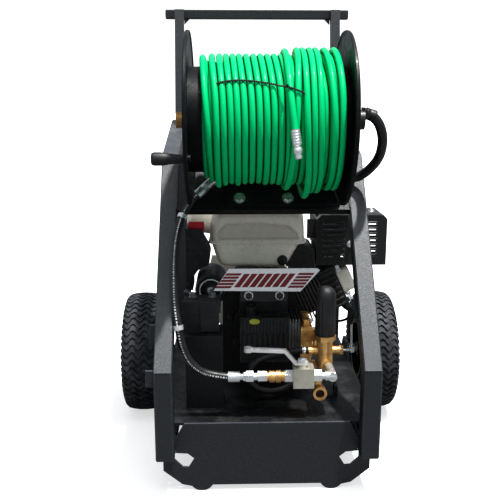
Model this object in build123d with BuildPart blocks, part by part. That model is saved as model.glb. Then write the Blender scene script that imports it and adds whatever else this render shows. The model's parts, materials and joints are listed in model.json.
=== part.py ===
"""Engine-driven cold-water pressure washer on a two-wheeled trolley, with a hose reel over the pump.

Frame: X to the machine's right as seen from its front, Y from the front to the handle, Z up.
The origin is on the ground under the middle of the machine. Millimetres.
"""
from build123d import *
from math import atan2, cos, degrees, hypot, pi, radians, sin, tan
import os

os.makedirs("parts", exist_ok=True)

# ---------------------------------------------------------------- driving dimensions
DEPTH = 753.6            # from the reel's rim to the back of the handle bar
REEL_R = 183.6           # outer radius of the reel's side discs
REEL_FORWARD = 130.0     # reel axis behind the front legs' face
REEL_Z = 820.0
Y0 = REEL_R - REEL_FORWARD - DEPTH / 2     # front face of the front legs
FRAME_HALF = 244.0       # outside of the side frames
TUBE = 40.0              # square tube of the side frames
INNER = FRAME_HALF - TUBE
FOOT_Z = 94.0            # underside of the side frames
BEND_Z = 299.0           # where the front legs start to lean back
SHOULDER = (327.0, 733.0)   # top of the leaning legs, behind the legs' face and up
POST_BACK = 640.0        # back of the rear posts, behind the legs' face
POST_TOP = 805.0
TRAY_TOP = 163.0
HANDLE_TOP = 1109.0
HANDLE_TUBE = 25.0
WHEEL_R = 165.0          # 13 x 4.00-6 tyre
TYRE_OUT = 372.0         # outer face of the tyres
TYRE_WIDE = 100.0
AXLE_Y = Y0 + 498.0
CRANK_Z = 298.0          # engine and pump shaft
STUB_R = 10.0            # stub axles
PLATE_T = 8.0            # plates that hold them
RUN = 0.05               # radial clearance of a running fit
GAP = 0.6                # clearance between parts that pass each other

# ---------------------------------------------------------------- helpers


def at_x(x):
    """Sketch plane across X: its axes are Y and Z, its normal +X."""
    return Plane.YZ.offset(x)


def at_y(y):
    """Sketch plane across Y: its axes are X and Z, its normal -Y."""
    return Plane.XZ.offset(-y)


def at_z(z):
    """Sketch plane across Z: its axes are X and Y."""
    return Plane.XY.offset(z)


def block(x, y, z, mode=Mode.ADD):
    """A box from its two limits along each axis."""
    with Locations(((x[0] + x[1]) / 2, (y[0] + y[1]) / 2, (z[0] + z[1]) / 2)):
        Box(x[1] - x[0], y[1] - y[0], z[1] - z[0], mode=mode)


def turned(origin, direction, profile, mode=Mode.ADD):
    """Revolve a closed outline of (distance along, radius) points about a line."""
    along = Vector(*direction).normalized()
    side = Vector(0, 0, 1) if abs(along.Z) < 0.9 else Vector(1, 0, 0)
    with BuildSketch(Plane(origin=origin, x_dir=along, z_dir=along.cross(side))) as section:
        with BuildLine():
            Polyline(*profile, close=True)
        make_face()
    revolve(section.sketch, axis=Axis(origin, direction), mode=mode)


def rod(start, end, radius, mode=Mode.ADD):
    """A round bar between two points."""
    run = Vector(*end) - Vector(*start)
    with BuildSketch(Plane(origin=start, z_dir=run)) as section:
        Circle(radius)
    extrude(section.sketch, amount=run.length, mode=mode)


def ring(start, end, outer, inner):
    """A round sleeve between two points."""
    run = Vector(*end) - Vector(*start)
    with BuildSketch(Plane(origin=start, z_dir=run)) as section:
        Circle(outer)
        Circle(inner, mode=Mode.SUBTRACT)
    extrude(section.sketch, amount=run.length)


def hexagon(start, end, across):
    """A hexagonal bar between two points, from its size across the flats."""
    run = Vector(*end) - Vector(*start)
    with BuildSketch(Plane(origin=start, z_dir=run)) as section:
        RegularPolygon(across / 2, 6, major_radius=False)
    extrude(section.sketch, amount=run.length)


def prism(plane, points, amount, mode=Mode.ADD):
    """A straight-sided outline drawn on a plane and extruded along its normal."""
    with BuildSketch(plane) as section:
        with BuildLine():
            Polyline(*points, close=True)
        make_face()
    extrude(section.sketch, amount=amount, mode=mode)


def arc_radii(points):
    """The largest radius for each corner of a hose's route: 0.45 of the shorter run over tan(half turn)."""
    v = [Vector(*p) for p in points]
    radii = []
    for before, here, after in zip(v, v[1:], v[2:]):
        turn = (here - before).get_angle(after - here)
        shorter = min((here - before).length, (after - here).length)
        radii.append(0.45 * shorter / tan(radians(turn / 2)))
    return radii


def tube(points, radius, bore=0.0):
    """A hose along a route of straight runs joined by tangent arcs. Call inside a part block."""
    radii = arc_radii(points)
    with BuildLine() as route:
        FilletPolyline(*points, radius=radii)
    wire = route.wires()[0]
    with BuildSketch(Plane(origin=wire @ 0, z_dir=wire % 0)) as section:
        Circle(radius)
        if bore:
            Circle(bore, mode=Mode.SUBTRACT)
    sweep(section.sketch, path=wire)
    return wire.length, min(radii)


def save(piece, node):
    """Label a finished piece and write it as a STEP of its own."""
    piece.label = node
    export_step(piece, f"parts/{node}.step")


# ---------------------------------------------------------------- side frames
LEAN = hypot(SHOULDER[0], SHOULDER[1] - BEND_Z)
LEAN_UP = ((SHOULDER[1] - BEND_Z) / LEAN, SHOULDER[0] / LEAN)   # cosine and sine of the lean
# A plane on the leaning face of the legs: local x is X, local y runs up the slope, normal forwards.
SLOPE = Plane(origin=(0, Y0, BEND_Z), x_dir=(1, 0, 0), z_dir=(0, -LEAN_UP[0], LEAN_UP[1]))


def on_slope(x, up, out):
    """A point from its place across and up the leaning face, and its height above that face."""
    p = SLOPE.from_local_coords(Vector(x, up, out))
    return (p.X, p.Y, p.Z)


OUTLINE = [(Y0, FOOT_Z), (Y0, BEND_Z), (Y0 + SHOULDER[0], SHOULDER[1]),
           (Y0 + POST_BACK, POST_TOP), (Y0 + POST_BACK, FOOT_Z)]

with BuildPart() as side_frame:
    with BuildSketch(at_x(INNER)):
        with BuildLine():
            Polyline(*OUTLINE, close=True)
        make_face()
        offset(amount=-TUBE, kind=Kind.INTERSECTION, mode=Mode.SUBTRACT)
    extrude(amount=TUBE)
    flat = side_frame.faces().filter_by(Axis.X)
    chamfer(flat.edges(), length=2.5)
    # plate for the wheel's stub axle, welded outside the lower rail
    prism(at_x(FRAME_HALF), [(AXLE_Y - 60, FOOT_Z), (AXLE_Y + 60, FOOT_Z), (AXLE_Y + 60, FOOT_Z + TUBE),
                             (AXLE_Y + 26, WHEEL_R + 28), (AXLE_Y - 26, WHEEL_R + 28),
                             (AXLE_Y - 60, FOOT_Z + TUBE)], PLATE_T)
    rod((FRAME_HALF, AXLE_Y, WHEEL_R), (FRAME_HALF + PLATE_T, AXLE_Y, WHEEL_R), STUB_R, mode=Mode.SUBTRACT)
save(side_frame.part, "side_frame_right")

with BuildPart() as side_frame_left:
    add(side_frame.part.mirror(Plane.YZ))
    # two small tabs welded outside the leg
    block((-262, -FRAME_HALF), (Y0 + 14, Y0 + 20), (262, 298))
    middle = on_slope(0, 92, -TUBE / 2)
    block((-257, -FRAME_HALF), (middle[1] - 3, middle[1] + 3), (middle[2] - 22, middle[2] + 22))
save(side_frame_left.part, "side_frame_left")

# ---------------------------------------------------------------- front apron
SHEET = 5.0
APRON_Y = Y0 + TUBE + SHEET
BUMP_X, BUMP_R = 146.0, 28.0
HOLE = [(206, 93), (177, 91), (162, 79), (175, 58), (188, 59), (206, 77)]

with BuildPart() as front_apron:
    with BuildSketch(at_y(APRON_Y)):
        half = [(0, TRAY_TOP), (INNER - 20, TRAY_TOP), (INNER - 0.5, TRAY_TOP - 36), (INNER - 0.5, FOOT_Z),
                (232, FOOT_Z), (232, 50), (190, 16), (BUMP_X + BUMP_R * 0.8, BUMP_R * 0.4),
                (BUMP_X - BUMP_R * 0.87, BUMP_R * 0.5), (118, 14), (0, 14)]
        with BuildLine():
            Polyline(*half, close=True)
        make_face()
        with Locations((BUMP_X, BUMP_R)):
            Circle(BUMP_R)
        with BuildLine():
            Polyline(*HOLE, close=True)
        make_face(mode=Mode.SUBTRACT)
        mirror(about=Plane.YZ)
    extrude(amount=SHEET)
save(front_apron.part, "front_apron")

# ---------------------------------------------------------------- base tray
RAIL_TOP = FOOT_Z + TUBE
MOUNT_X, MOUNT_Y = 82.0, (Y0 + 352, Y0 + 494)
ENGINE_BASE = 166.0
BATTERY_X = (-187.0, -103.0)
BATTERY_Y = (Y0 + 150, Y0 + 205)
TRAY_FRONT = APRON_Y + 0.2
TRAY_BACK = Y0 + POST_BACK - TUBE - 0.2
with BuildPart() as base_tray:
    block((-FRAME_HALF, FRAME_HALF), (TRAY_FRONT, TRAY_BACK), (TRAY_TOP - 6, TRAY_TOP))
    for side in (-1, 1):
        edge = sorted((side * (FRAME_HALF - 6), side * FRAME_HALF))
        block(edge, (TRAY_FRONT, TRAY_BACK), (RAIL_TOP, TRAY_TOP - 6))
    # folded stand under the battery
    front = Y0 + 118
    block((-183, -98), (front, front + 4), (TRAY_TOP, 338))
    block((-183, -98), (front + 4, BATTERY_Y[1]), (334, 338))
    for x in (-183, -102):
        block((x, x + 4), (front + 4, BATTERY_Y[1]), (TRAY_TOP, 334))
    # small upright tab on the tray behind the water inlet
    block((168, 176), (Y0 + 170, Y0 + 196), (TRAY_TOP, 191))
    block((148, 168), (Y0 + 170, Y0 + 196), (TRAY_TOP, 167))
save(base_tray.part, "base_tray")
with BuildPart() as engine_mounts:
    for y in MOUNT_Y:
        for x in (-MOUNT_X, MOUNT_X):
            rod((x, y, TRAY_TOP), (x, y, ENGINE_BASE), 18)
save(engine_mounts.part, "engine_mounts")

# ---------------------------------------------------------------- push handle
UPRIGHT_X = 218.0
BASE_Y, BASE_Z = Y0 + 603.0, 796.6
with BuildPart() as push_handle:
    bar_y = DEPTH / 2 - HANDLE_TUBE / 2
    with BuildSketch(at_x(-257)):
        with Locations((bar_y, HANDLE_TOP - HANDLE_TUBE / 2)):
            RectangleRounded(HANDLE_TUBE, HANDLE_TUBE, 3)
    extrude(amount=2 * 257)
    top = (bar_y - HANDLE_TUBE + 3, HANDLE_TOP - 2)
    rise = 13 * (POST_TOP - SHOULDER[1]) / (POST_BACK - SHOULDER[0])
    for side in (-1, 1):
        low = side * UPRIGHT_X - HANDLE_TUBE / 2
        with BuildSketch(at_x(low)):
            with BuildLine():
                Polyline((BASE_Y - 13, BASE_Z - rise), (top[0] - 12.5, top[1]), (top[0] + 12.5, top[1]),
                         (BASE_Y + 13, BASE_Z + rise), close=True)
            make_face()
        extrude(amount=HANDLE_TUBE)
        # weld gusset under the bar, on the inside of the upright
        inside = side * (UPRIGHT_X - HANDLE_TUBE / 2)
        prism(at_y(bar_y + 5), [(inside, HANDLE_TOP - 25), (inside - side * 14, HANDLE_TOP - 25),
                                (inside, HANDLE_TOP - 39)], 14)
save(push_handle.part, "push_handle")

# ---------------------------------------------------------------- reel platform and stand
PLATE_UP = (388.0, 535.0)     # the platform's stretch of the leaning face
STAND_UP = (398.0, 524.0)
BOLT_X = 57.0
BOLT_UP = (416.0, 506.0)
STAND_THICK = 6.0
ARM_X = (172.0, 180.0)
AXIS_UP = REEL_FORWARD * LEAN_UP[1] + (REEL_Z - BEND_Z) * LEAN_UP[0]
AXIS_OUT = (REEL_Z - BEND_Z) * LEAN_UP[1] - REEL_FORWARD * LEAN_UP[0]
HOSE_UP, HOSE_OUT = 466.0, 17.0     # where the whip hose passes under the reel
REEL_AXIS = (0, Y0 + REEL_FORWARD, REEL_Z)
AXLE_R = 15.0

with BuildPart() as reel_platform:
    with BuildSketch(SLOPE):
        with Locations((0, sum(PLATE_UP) / 2)):
            Rectangle(2 * INNER, PLATE_UP[1] - PLATE_UP[0])
        with Locations(*[(x, up) for x in (-BOLT_X, BOLT_X) for up in BOLT_UP]):
            Circle(5.25, mode=Mode.SUBTRACT)
    extrude(amount=-5)
    with BuildSketch(SLOPE):
        with Locations((0, PLATE_UP[0] + 2.5)):
            Rectangle(2 * INNER, 5)
    extrude(amount=-22)
save(reel_platform.part, "reel_platform")

with BuildPart() as reel_stand:
    with BuildSketch(SLOPE):
        with Locations(((ARM_X[1] - 85) / 2, sum(STAND_UP) / 2)):
            Rectangle(ARM_X[1] + 85, STAND_UP[1] - STAND_UP[0])
        with Locations((3, 446)):
            SlotOverall(46, 12, mode=Mode.SUBTRACT)
        with Locations(*[(x, up) for x in (-BOLT_X, BOLT_X) for up in BOLT_UP]):
            Circle(5.25, mode=Mode.SUBTRACT)
    extrude(amount=STAND_THICK)
    arm_plane = Plane(origin=on_slope(ARM_X[0], 0, 0), x_dir=SLOPE.y_dir, z_dir=(1, 0, 0))
    with BuildSketch(arm_plane):
        with BuildLine():
            Polyline((STAND_UP[0], 0), (STAND_UP[1], 0), (AXIS_UP + 26, AXIS_OUT), (AXIS_UP - 26, AXIS_OUT),
                     close=True)
        make_face()
        with Locations((AXIS_UP, AXIS_OUT)):
            Circle(34)
        with Locations((HOSE_UP, HOSE_OUT + 3)):
            Circle(15, mode=Mode.SUBTRACT)
        with Locations((AXIS_UP, AXIS_OUT)):
            Circle(24, mode=Mode.SUBTRACT)
    extrude(amount=ARM_X[1] - ARM_X[0])
    # bearing housing in the head of the arm
    ring((ARM_X[0] - 2.5, *REEL_AXIS[1:]), (ARM_X[1] + 9, *REEL_AXIS[1:]), 24, AXLE_R + RUN)
    ring((ARM_X[1], *REEL_AXIS[1:]), (ARM_X[1] + 5, *REEL_AXIS[1:]), 34, 24)
save(reel_stand.part, "reel_stand")

with BuildPart() as platform_bolts:
    for x in (-BOLT_X, BOLT_X):
        for up in BOLT_UP:
            rod(on_slope(x, up, -12), on_slope(x, up, STAND_THICK), 5.2)
            rod(on_slope(x, up, STAND_THICK), on_slope(x, up, STAND_THICK + 2.5), 14)
            hexagon(on_slope(x, up, STAND_THICK + 2.5), on_slope(x, up, STAND_THICK + 9), 17)
            hexagon(on_slope(x, up, -13), on_slope(x, up, -5), 17)
save(platform_bolts.part, "platform_bolts")

# ---------------------------------------------------------------- reel
CORE_R = 110.5
DISC_X = 164.5
DISC_THICK = 3.0
HOSE_R = 7.25
WOUND_R = (137.7, 150.3)      # over two layers, and over three on the right
WOUND_LEFT = (-150.0, -141.0)   # where the first and the second layer start, clear of the left disc
WOUND_RIGHT = 152.0
THIRD_LAYER_X = 65.0
KNOB_Y, KNOB_Z = Y0, 748.5

with BuildPart() as reel_drum:
    disc = [(DISC_X - 1.5, 0), (DISC_X - 1.5, REEL_R - 6), (DISC_X - 4, REEL_R - 4), (DISC_X - 4, REEL_R - 1),
            (DISC_X - 2, REEL_R), (DISC_X + 2, REEL_R), (DISC_X + 4, REEL_R - 1), (DISC_X + 4, REEL_R - 4),
            (DISC_X + 1.5, REEL_R - 6), (DISC_X + 1.5, 0)]
    for side in (-1, 1):
        turned(REEL_AXIS, (side, 0, 0), disc)
        # pressed hub ring outside each disc
        turned(REEL_AXIS, (side, 0, 0), [(DISC_X + 1.5, 0), (DISC_X + 1.5, 40), (DISC_X + 4, 36), (DISC_X + 4, 0)])
    rim = DISC_X - DISC_THICK / 2
    turned(REEL_AXIS, (1, 0, 0), [(-rim, CORE_R - 3), (-rim, CORE_R), (rim, CORE_R), (rim, CORE_R - 3)])
    rod((-DISC_X - 5, REEL_AXIS[1], REEL_Z), (DISC_X + 5, REEL_AXIS[1], REEL_Z), AXLE_R, mode=Mode.SUBTRACT)
    # spindle of the crank knob, bolted through the left disc near its rim
    rod((-DISC_X + 1.5, KNOB_Y, KNOB_Z), (-DISC_X + 8, KNOB_Y, KNOB_Z), 8)
    rod((-226, KNOB_Y, KNOB_Z), (-DISC_X - 1.5, KNOB_Y, KNOB_Z), 4)
    rod((-DISC_X - 4.5, KNOB_Y, KNOB_Z), (-DISC_X - 1.5, KNOB_Y, KNOB_Z), 8)
save(reel_drum.part, "reel_drum")

SWIVEL_X = (ARM_X[1] + 10, ARM_X[1] + 30)
with BuildPart() as reel_axle:
    ring((-182, REEL_AXIS[1], REEL_Z), (SWIVEL_X[1] - 6, REEL_AXIS[1], REEL_Z), AXLE_R, 6)
    # ribbed brass nut on its left end
    turned(REEL_AXIS, (-1, 0, 0), [(DISC_X + 4, AXLE_R), (DISC_X + 4, 20), (176, 20), (176, 17), (179, 17),
                                   (179, 15.6), (181, 15.6), (181, 17), (185, 17), (185, 15.6), (187, 15.6),
                                   (187, 17), (193, 17), (193, 5), (182, 5), (182, AXLE_R)])
save(reel_axle.part, "reel_axle")

with BuildPart() as crank_knob:
    turned((0, KNOB_Y, KNOB_Z), (-1, 0, 0),
           [(170, 0), (170, 8), (174, 8.6), (196, 11.5), (206, 13), (214, 13.4), (228, 13.6), (232, 12.6),
            (234, 10.5), (234, 0)])
    rod((-226 - GAP, KNOB_Y, KNOB_Z), (-169, KNOB_Y, KNOB_Z), 4 + RUN, mode=Mode.SUBTRACT)
save(crank_knob.part, "crank_knob")

# The wound hose, its free end over the winding and the fitting on that end.
with BuildPart() as hose_winding:
    turned(REEL_AXIS, (1, 0, 0), [(WOUND_LEFT[0], CORE_R), (WOUND_LEFT[0], CORE_R + 2 * HOSE_R),
                                  (WOUND_LEFT[1], CORE_R + 2 * HOSE_R), (WOUND_LEFT[1], WOUND_R[0]),
                                  (THIRD_LAYER_X, WOUND_R[0]), (THIRD_LAYER_X, WOUND_R[1]),
                                  (WOUND_RIGHT, WOUND_R[1]), (WOUND_RIGHT, CORE_R)])
save(hose_winding.part, "hose_winding")


def on_reel(x, angle, radius):
    """A point round the reel: 0 degrees is the front, 90 the top."""
    return (x, REEL_AXIS[1] - radius * cos(radians(angle)), REEL_Z + radius * sin(radians(angle)))


TAIL_R = WOUND_R[0] + HOSE_R + 2.8
TAIL = [on_reel(35, 100, TAIL_R - 8), on_reel(36, 82, TAIL_R), on_reel(36, 62, TAIL_R + 1),
        on_reel(37, 42, TAIL_R + 1), on_reel(39, 24, TAIL_R + 3), on_reel(42.5, 8, TAIL_R + 6),
        on_reel(47, -5, TAIL_R + 9)]
with BuildPart() as hose_tail:
    print("hose tail: length %.0f, least radius %.0f" % tube(TAIL, HOSE_R))
save(hose_tail.part, "hose_tail")

end_from = Vector(*TAIL[-1])
end_way = (end_from - Vector(*TAIL[-2])).normalized()
with BuildPart() as hose_end_fitting:
    turned(TAIL[-1], end_way, [(0, 0), (0, 9.5), (30, 9.5), (32, 8), (35, 8), (35, 9), (46, 9), (46, 7.5),
                               (55, 7.5), (57, 6), (57, 3.5), (40, 3.5), (40, 0)])
save(hose_end_fitting.part, "hose_end_fitting")

# ---------------------------------------------------------------- wheels
TYRE_IN = TYRE_OUT - TYRE_WIDE
TYRE_MID = (TYRE_OUT + TYRE_IN) / 2
SEAT_R = 77.0
for side, name in ((1, "right"), (-1, "left")):
    hub_at = (side * TYRE_MID, AXLE_Y, WHEEL_R)
    half = TYRE_WIDE / 2
    with BuildPart() as tyre:
        turned(hub_at, (side, 0, 0),
               [(-38, SEAT_R), (-40, SEAT_R + 12), (-48, SEAT_R + 30), (-half, SEAT_R + 48), (-48, SEAT_R + 66),
                (-41, WHEEL_R - 9), (-28, WHEEL_R - 2), (-12, WHEEL_R), (12, WHEEL_R), (28, WHEEL_R - 2),
                (41, WHEEL_R - 9), (48, SEAT_R + 66), (half, SEAT_R + 48), (48, SEAT_R + 30),
                (40, SEAT_R + 12), (38, SEAT_R), (30, SEAT_R), (32, SEAT_R + 16), (36, SEAT_R + 48),
                (26, WHEEL_R - 14), (-26, WHEEL_R - 14), (-36, SEAT_R + 48), (-32, SEAT_R + 16), (-30, SEAT_R)])
    save(tyre.part, f"tyre_{name}")
    with BuildPart() as rim_part:
        turned(hub_at, (side, 0, 0),
               [(-44, 74), (-44, SEAT_R + 9), (-41, SEAT_R + 9), (-38, SEAT_R), (-14, SEAT_R), (-8, 66), (8, 66),
                (14, SEAT_R), (38, SEAT_R), (41, SEAT_R + 9), (44, SEAT_R + 9), (44, 74), (18, 71), (10, 60),
                (8, 30), (8, 20), (30, 20), (30, STUB_R + RUN), (-40, STUB_R + RUN), (-40, 20), (0, 20),
                (0, 60), (-10, 63), (-18, 71)])
    save(rim_part.part, f"rim_{name}")

with BuildPart() as stub_axles:
    for side in (-1, 1):
        rod((side * FRAME_HALF, AXLE_Y, WHEEL_R), (side * (TYRE_MID + 44), AXLE_Y, WHEEL_R), STUB_R)
        # collar inside the wheel, washer and nut outside it
        inner, outer = side * (TYRE_IN + 10 - GAP), side * (TYRE_MID + 30 + GAP)
        ring((side * (FRAME_HALF + PLATE_T), AXLE_Y, WHEEL_R), (inner, AXLE_Y, WHEEL_R), 14, STUB_R)
        ring((outer, AXLE_Y, WHEEL_R), (outer + side * 3, AXLE_Y, WHEEL_R), 16, STUB_R)
        ring((outer + side * 3, AXLE_Y, WHEEL_R), (outer + side * 9, AXLE_Y, WHEEL_R), 13, STUB_R)
save(stub_axles.part, "stub_axles")

# ---------------------------------------------------------------- battery
with BuildPart() as battery:
    block((BATTERY_X[0] + 1, BATTERY_X[1] - 4), BATTERY_Y, (338, 384))
    block((BATTERY_X[0] - 1, BATTERY_X[1]), (BATTERY_Y[0] - 3, BATTERY_Y[1] + 3), (384, 411))
    block((-148, -106), (BATTERY_Y[0] - 8, BATTERY_Y[0]), (342, 411))
    for z in (374, 392):
        block((-142, -120), (BATTERY_Y[0] - 8.5, BATTERY_Y[0] - 6), (z, z + 2.5), mode=Mode.SUBTRACT)
save(battery.part, "battery")

# ---------------------------------------------------------------- engine
ENGINE_Y = (Y0 + 326, Y0 + 520)        # crankcase, from the shaft end to the fan
SHAFT_R = 17.5
TILT = radians(25)                     # the cylinder's rise from level
BORE_Y = Y0 + 410                      # middle of the cylinder
SHAFT_AT = (0, 0, CRANK_Z)
U, V = (cos(TILT), sin(TILT)), (-sin(TILT), cos(TILT))


def on_cylinder(along, across):
    """X and Z of a point along the tilted cylinder's axis and across it."""
    return (along * U[0] + across * V[0], CRANK_Z + along * U[1] + across * V[1])


def cylinder_plane(along):
    """Sketch plane square to the cylinder: local x is Y, local y runs across it, normal outwards."""
    x, z = on_cylinder(along, 0)
    return Plane(origin=(x, BORE_Y, z), x_dir=(0, 1, 0), z_dir=(U[0], 0, U[1]))


with BuildPart() as engine_crankcase:
    case = [(-100, ENGINE_BASE), (105, ENGINE_BASE), (118, CRANK_Z - 95), on_cylinder(108, -58),
            on_cylinder(108, 58), (40, CRANK_Z + 103), (-60, CRANK_Z + 107), (-100, CRANK_Z + 75)]
    prism(at_y(ENGINE_Y[0]), case, -(ENGINE_Y[1] - ENGINE_Y[0]))
    rod((0, ENGINE_Y[0] - 10, CRANK_Z), (0, ENGINE_Y[0], CRANK_Z), 62)
    rod((0, ENGINE_Y[0] + 16, CRANK_Z), (0, ENGINE_Y[1] - 16, CRANK_Z), 88, mode=Mode.SUBTRACT)
    rod((0, ENGINE_Y[0] - 12, CRANK_Z), (0, ENGINE_Y[1] + 2, CRANK_Z), SHAFT_R + RUN, mode=Mode.SUBTRACT)
    bore_start, bore_end = on_cylinder(40, 0), on_cylinder(112, 0)
    rod((bore_start[0], BORE_Y, bore_start[1]), (bore_end[0], BORE_Y, bore_end[1]), 44.2, mode=Mode.SUBTRACT)
save(engine_crankcase.part, "engine_crankcase")

FIN_PITCH = 9.0
with BuildPart() as engine_cylinder:
    with BuildSketch(cylinder_plane(108)):
        Circle(54)
    extrude(amount=74)
    for i in range(8):
        with BuildSketch(cylinder_plane(112 + i * FIN_PITCH)):
            RectangleRounded(136, 122, 10)
        extrude(amount=3)
    # sheet-metal air duct over the fins
    prism(at_y(BORE_Y - 64), [(78, 402), (78, 440), (62, 446), (62, 452), (74, 464), (93, 510), (134, 488),
                              (137, 430)], -124)
    with BuildSketch(cylinder_plane(108)):
        Circle(44)
    extrude(amount=74, mode=Mode.SUBTRACT)
save(engine_cylinder.part, "engine_cylinder")

with BuildPart() as engine_piston:
    with BuildSketch(cylinder_plane(112)):
        Circle(43.9)
    extrude(amount=48)
save(engine_piston.part, "engine_piston")

with BuildPart() as cylinder_head:
    with BuildSketch(cylinder_plane(182)):
        RectangleRounded(124, 112, 8)
    extrude(amount=46)
    for i in range(7):
        with BuildSketch(cylinder_plane(182)):
            with Locations((0, -46 + i * 15)):
                Rectangle(140, 3)
        extrude(amount=40)
    with BuildSketch(cylinder_plane(182 + 46)):
        with Locations(*[(y, v) for y in (-52, 52) for v in (-46, 46)]):
            RegularPolygon(7, 6)
    extrude(amount=7)
    # spark plug and its cap
    tip, cap = on_cylinder(205, -50), on_cylinder(222, -84)
    rod((tip[0], BORE_Y, tip[1]), (cap[0], BORE_Y, cap[1]), 8)
save(cylinder_head.part, "cylinder_head")

with BuildPart() as rocker_cover:
    with BuildSketch(cylinder_plane(228)):
        RectangleRounded(88, 76, 16)
    extrude(amount=5)
    with BuildSketch(cylinder_plane(233)):
        RectangleRounded(80, 68, 14)
    extrude(amount=30)
    top_face = rocker_cover.faces().sort_by(Axis((0, 0, 0), (U[0], 0, U[1])))[-1]
    fillet(top_face.edges(), radius=10)
save(rocker_cover.part, "rocker_cover")

# Crankshaft, flywheel and starter cup turn together with the pump's shaft.
FLYWHEEL_Y = (ENGINE_Y[1] + 12, ENGINE_Y[1] + 46)
PUMP_Y = (Y0 + 200, Y0 + 296)
with BuildPart() as crankshaft:
    rod((0, PUMP_Y[1] + 2, CRANK_Z), (0, BORE_Y - 24, CRANK_Z), SHAFT_R)
    rod((0, BORE_Y + 24, CRANK_Z), (0, FLYWHEEL_Y[1] + 6, CRANK_Z), SHAFT_R)
    for y in (BORE_Y - 38, BORE_Y + 18):
        with BuildSketch(at_y(y + 20)):
            with Locations((0, CRANK_Z - 12)):
                RectangleRounded(84, 106, 12)
        extrude(amount=20)
    rod((0, BORE_Y - 20, CRANK_Z + 28), (0, BORE_Y + 20, CRANK_Z + 28), 12)
    # the pump's end of the shaft, with the three eccentrics that drive the plungers
    rod((0, PUMP_Y[0] + 14, CRANK_Z), (0, PUMP_Y[1] + 2, CRANK_Z), SHAFT_R)
    for i, y in enumerate((34, 52, 70)):
        angle = radians(90 + 120 * i)
        x, z = 5 * cos(angle), CRANK_Z + 5 * sin(angle)
        rod((x, PUMP_Y[0] + y - 7, z), (x, PUMP_Y[0] + y + 7, z), 25)
save(crankshaft.part, "crankshaft")
with BuildPart() as flywheel:
    turned((0, FLYWHEEL_Y[0], CRANK_Z), (0, 1, 0),
           [(0, SHAFT_R), (0, 108), (20, 108), (20, 60), (34, 40), (34, SHAFT_R)])
    with BuildSketch(at_y(FLYWHEEL_Y[0] + 20)):
        with Locations((0, CRANK_Z)):
            with PolarLocations(84, 16):
                Rectangle(40, 3)
    extrude(amount=-12)
save(flywheel.part, "flywheel")
with BuildPart() as fan_housing:
    shroud_y = (ENGINE_Y[1], ENGINE_Y[1] + 58)
    with BuildSketch(at_y(shroud_y[0])):
        with Locations((0, CRANK_Z)):
            Circle(128)
        with BuildLine():
            Polyline((0, CRANK_Z + 40), (-120, CRANK_Z), (-150, CRANK_Z + 60), (-130, CRANK_Z + 136),
                     (50, CRANK_Z + 126), close=True)
        make_face()
    extrude(amount=-(shroud_y[1] - shroud_y[0]))
    rod((0, shroud_y[0] + 3, CRANK_Z), (0, shroud_y[1] - 4, CRANK_Z), 116, mode=Mode.SUBTRACT)
    rod((0, shroud_y[0] - 1, CRANK_Z), (0, shroud_y[0] + 4, CRANK_Z), 30, mode=Mode.SUBTRACT)
    rod((0, shroud_y[1] - 5, CRANK_Z), (0, shroud_y[1] + 1, CRANK_Z), 84, mode=Mode.SUBTRACT)
save(fan_housing.part, "fan_housing")

ROPE_X, ROPE_Y = 60.0, shroud_y[1] + 18
with BuildPart() as recoil_cover:
    cover_y = shroud_y[1]
    turned((0, cover_y, CRANK_Z), (0, 1, 0), [(0, 84), (0, 98), (6, 98), (10, 92), (30, 84), (34, 74), (34, 0),
                                              (30, 0), (30, 72), (26, 80), (2, 84)])
    with BuildSketch(at_y(cover_y + 36)):
        with Locations((0, CRANK_Z)):
            with PolarLocations(50, 14):
                SlotOverall(30, 6)
    extrude(amount=10, mode=Mode.SUBTRACT)
    # upright guide for the starting rope
    rod((ROPE_X, ROPE_Y, CRANK_Z + 58), (ROPE_X, ROPE_Y, CRANK_Z + 96), 9)
    rod((ROPE_X, ROPE_Y, CRANK_Z - 62), (ROPE_X, ROPE_Y, CRANK_Z + 97), 2.6, mode=Mode.SUBTRACT)
save(recoil_cover.part, "recoil_cover")
with BuildPart() as recoil_grip:
    grip_z = CRANK_Z + 96 + GAP
    turned((ROPE_X, ROPE_Y, grip_z), (0, 0, 1), [(0, 0), (0, 8), (4, 9), (9, 9), (9, 0)])
    rod((ROPE_X - 45, ROPE_Y, grip_z + 15), (ROPE_X + 45, ROPE_Y, grip_z + 15), 9)
    rod((ROPE_X, ROPE_Y, CRANK_Z - 48), (ROPE_X, ROPE_Y, grip_z), 2)
save(recoil_grip.part, "recoil_grip")

# ---------------------------------------------------------------- fuel tank
TANK_Y = (Y0 + 300, Y0 + 512)
CAP_AT = (-30.0, TANK_Y[0] + 130)
with BuildPart() as fuel_tank:
    low = [(-119, 464), (-103, 452), (56, 452), (70, 464), (90, 512), (-126, 512)]
    high = [(-127, 516), (106, 516), (105, 590), (91, 606), (-110, 606), (-126, 590)]
    prism(at_y(TANK_Y[0] + 6), low, -(TANK_Y[1] - TANK_Y[0] - 12))
    prism(at_y(TANK_Y[0] + 4), high, -(TANK_Y[1] - TANK_Y[0] - 8))
    block((-134, 112), TANK_Y, (512, 516))
    window = [(-115, 518), (92, 518), (85, 540), (64, 556), (-10, 562), (-90, 561), (-107, 544)]
    prism(at_y(TANK_Y[0] + 9), window, 10, mode=Mode.SUBTRACT)
    # wide part of the tank behind the control box
    prism(at_y(TANK_Y[0] + 90), [(-146, 522), (-126, 516), (-126, 600), (-184, 600), (-192, 590), (-192, 538),
                                 (-184, 530)], -96)
    ring((*CAP_AT, 606), (*CAP_AT, 614), 24, 18)
save(fuel_tank.part, "fuel_tank")
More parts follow.
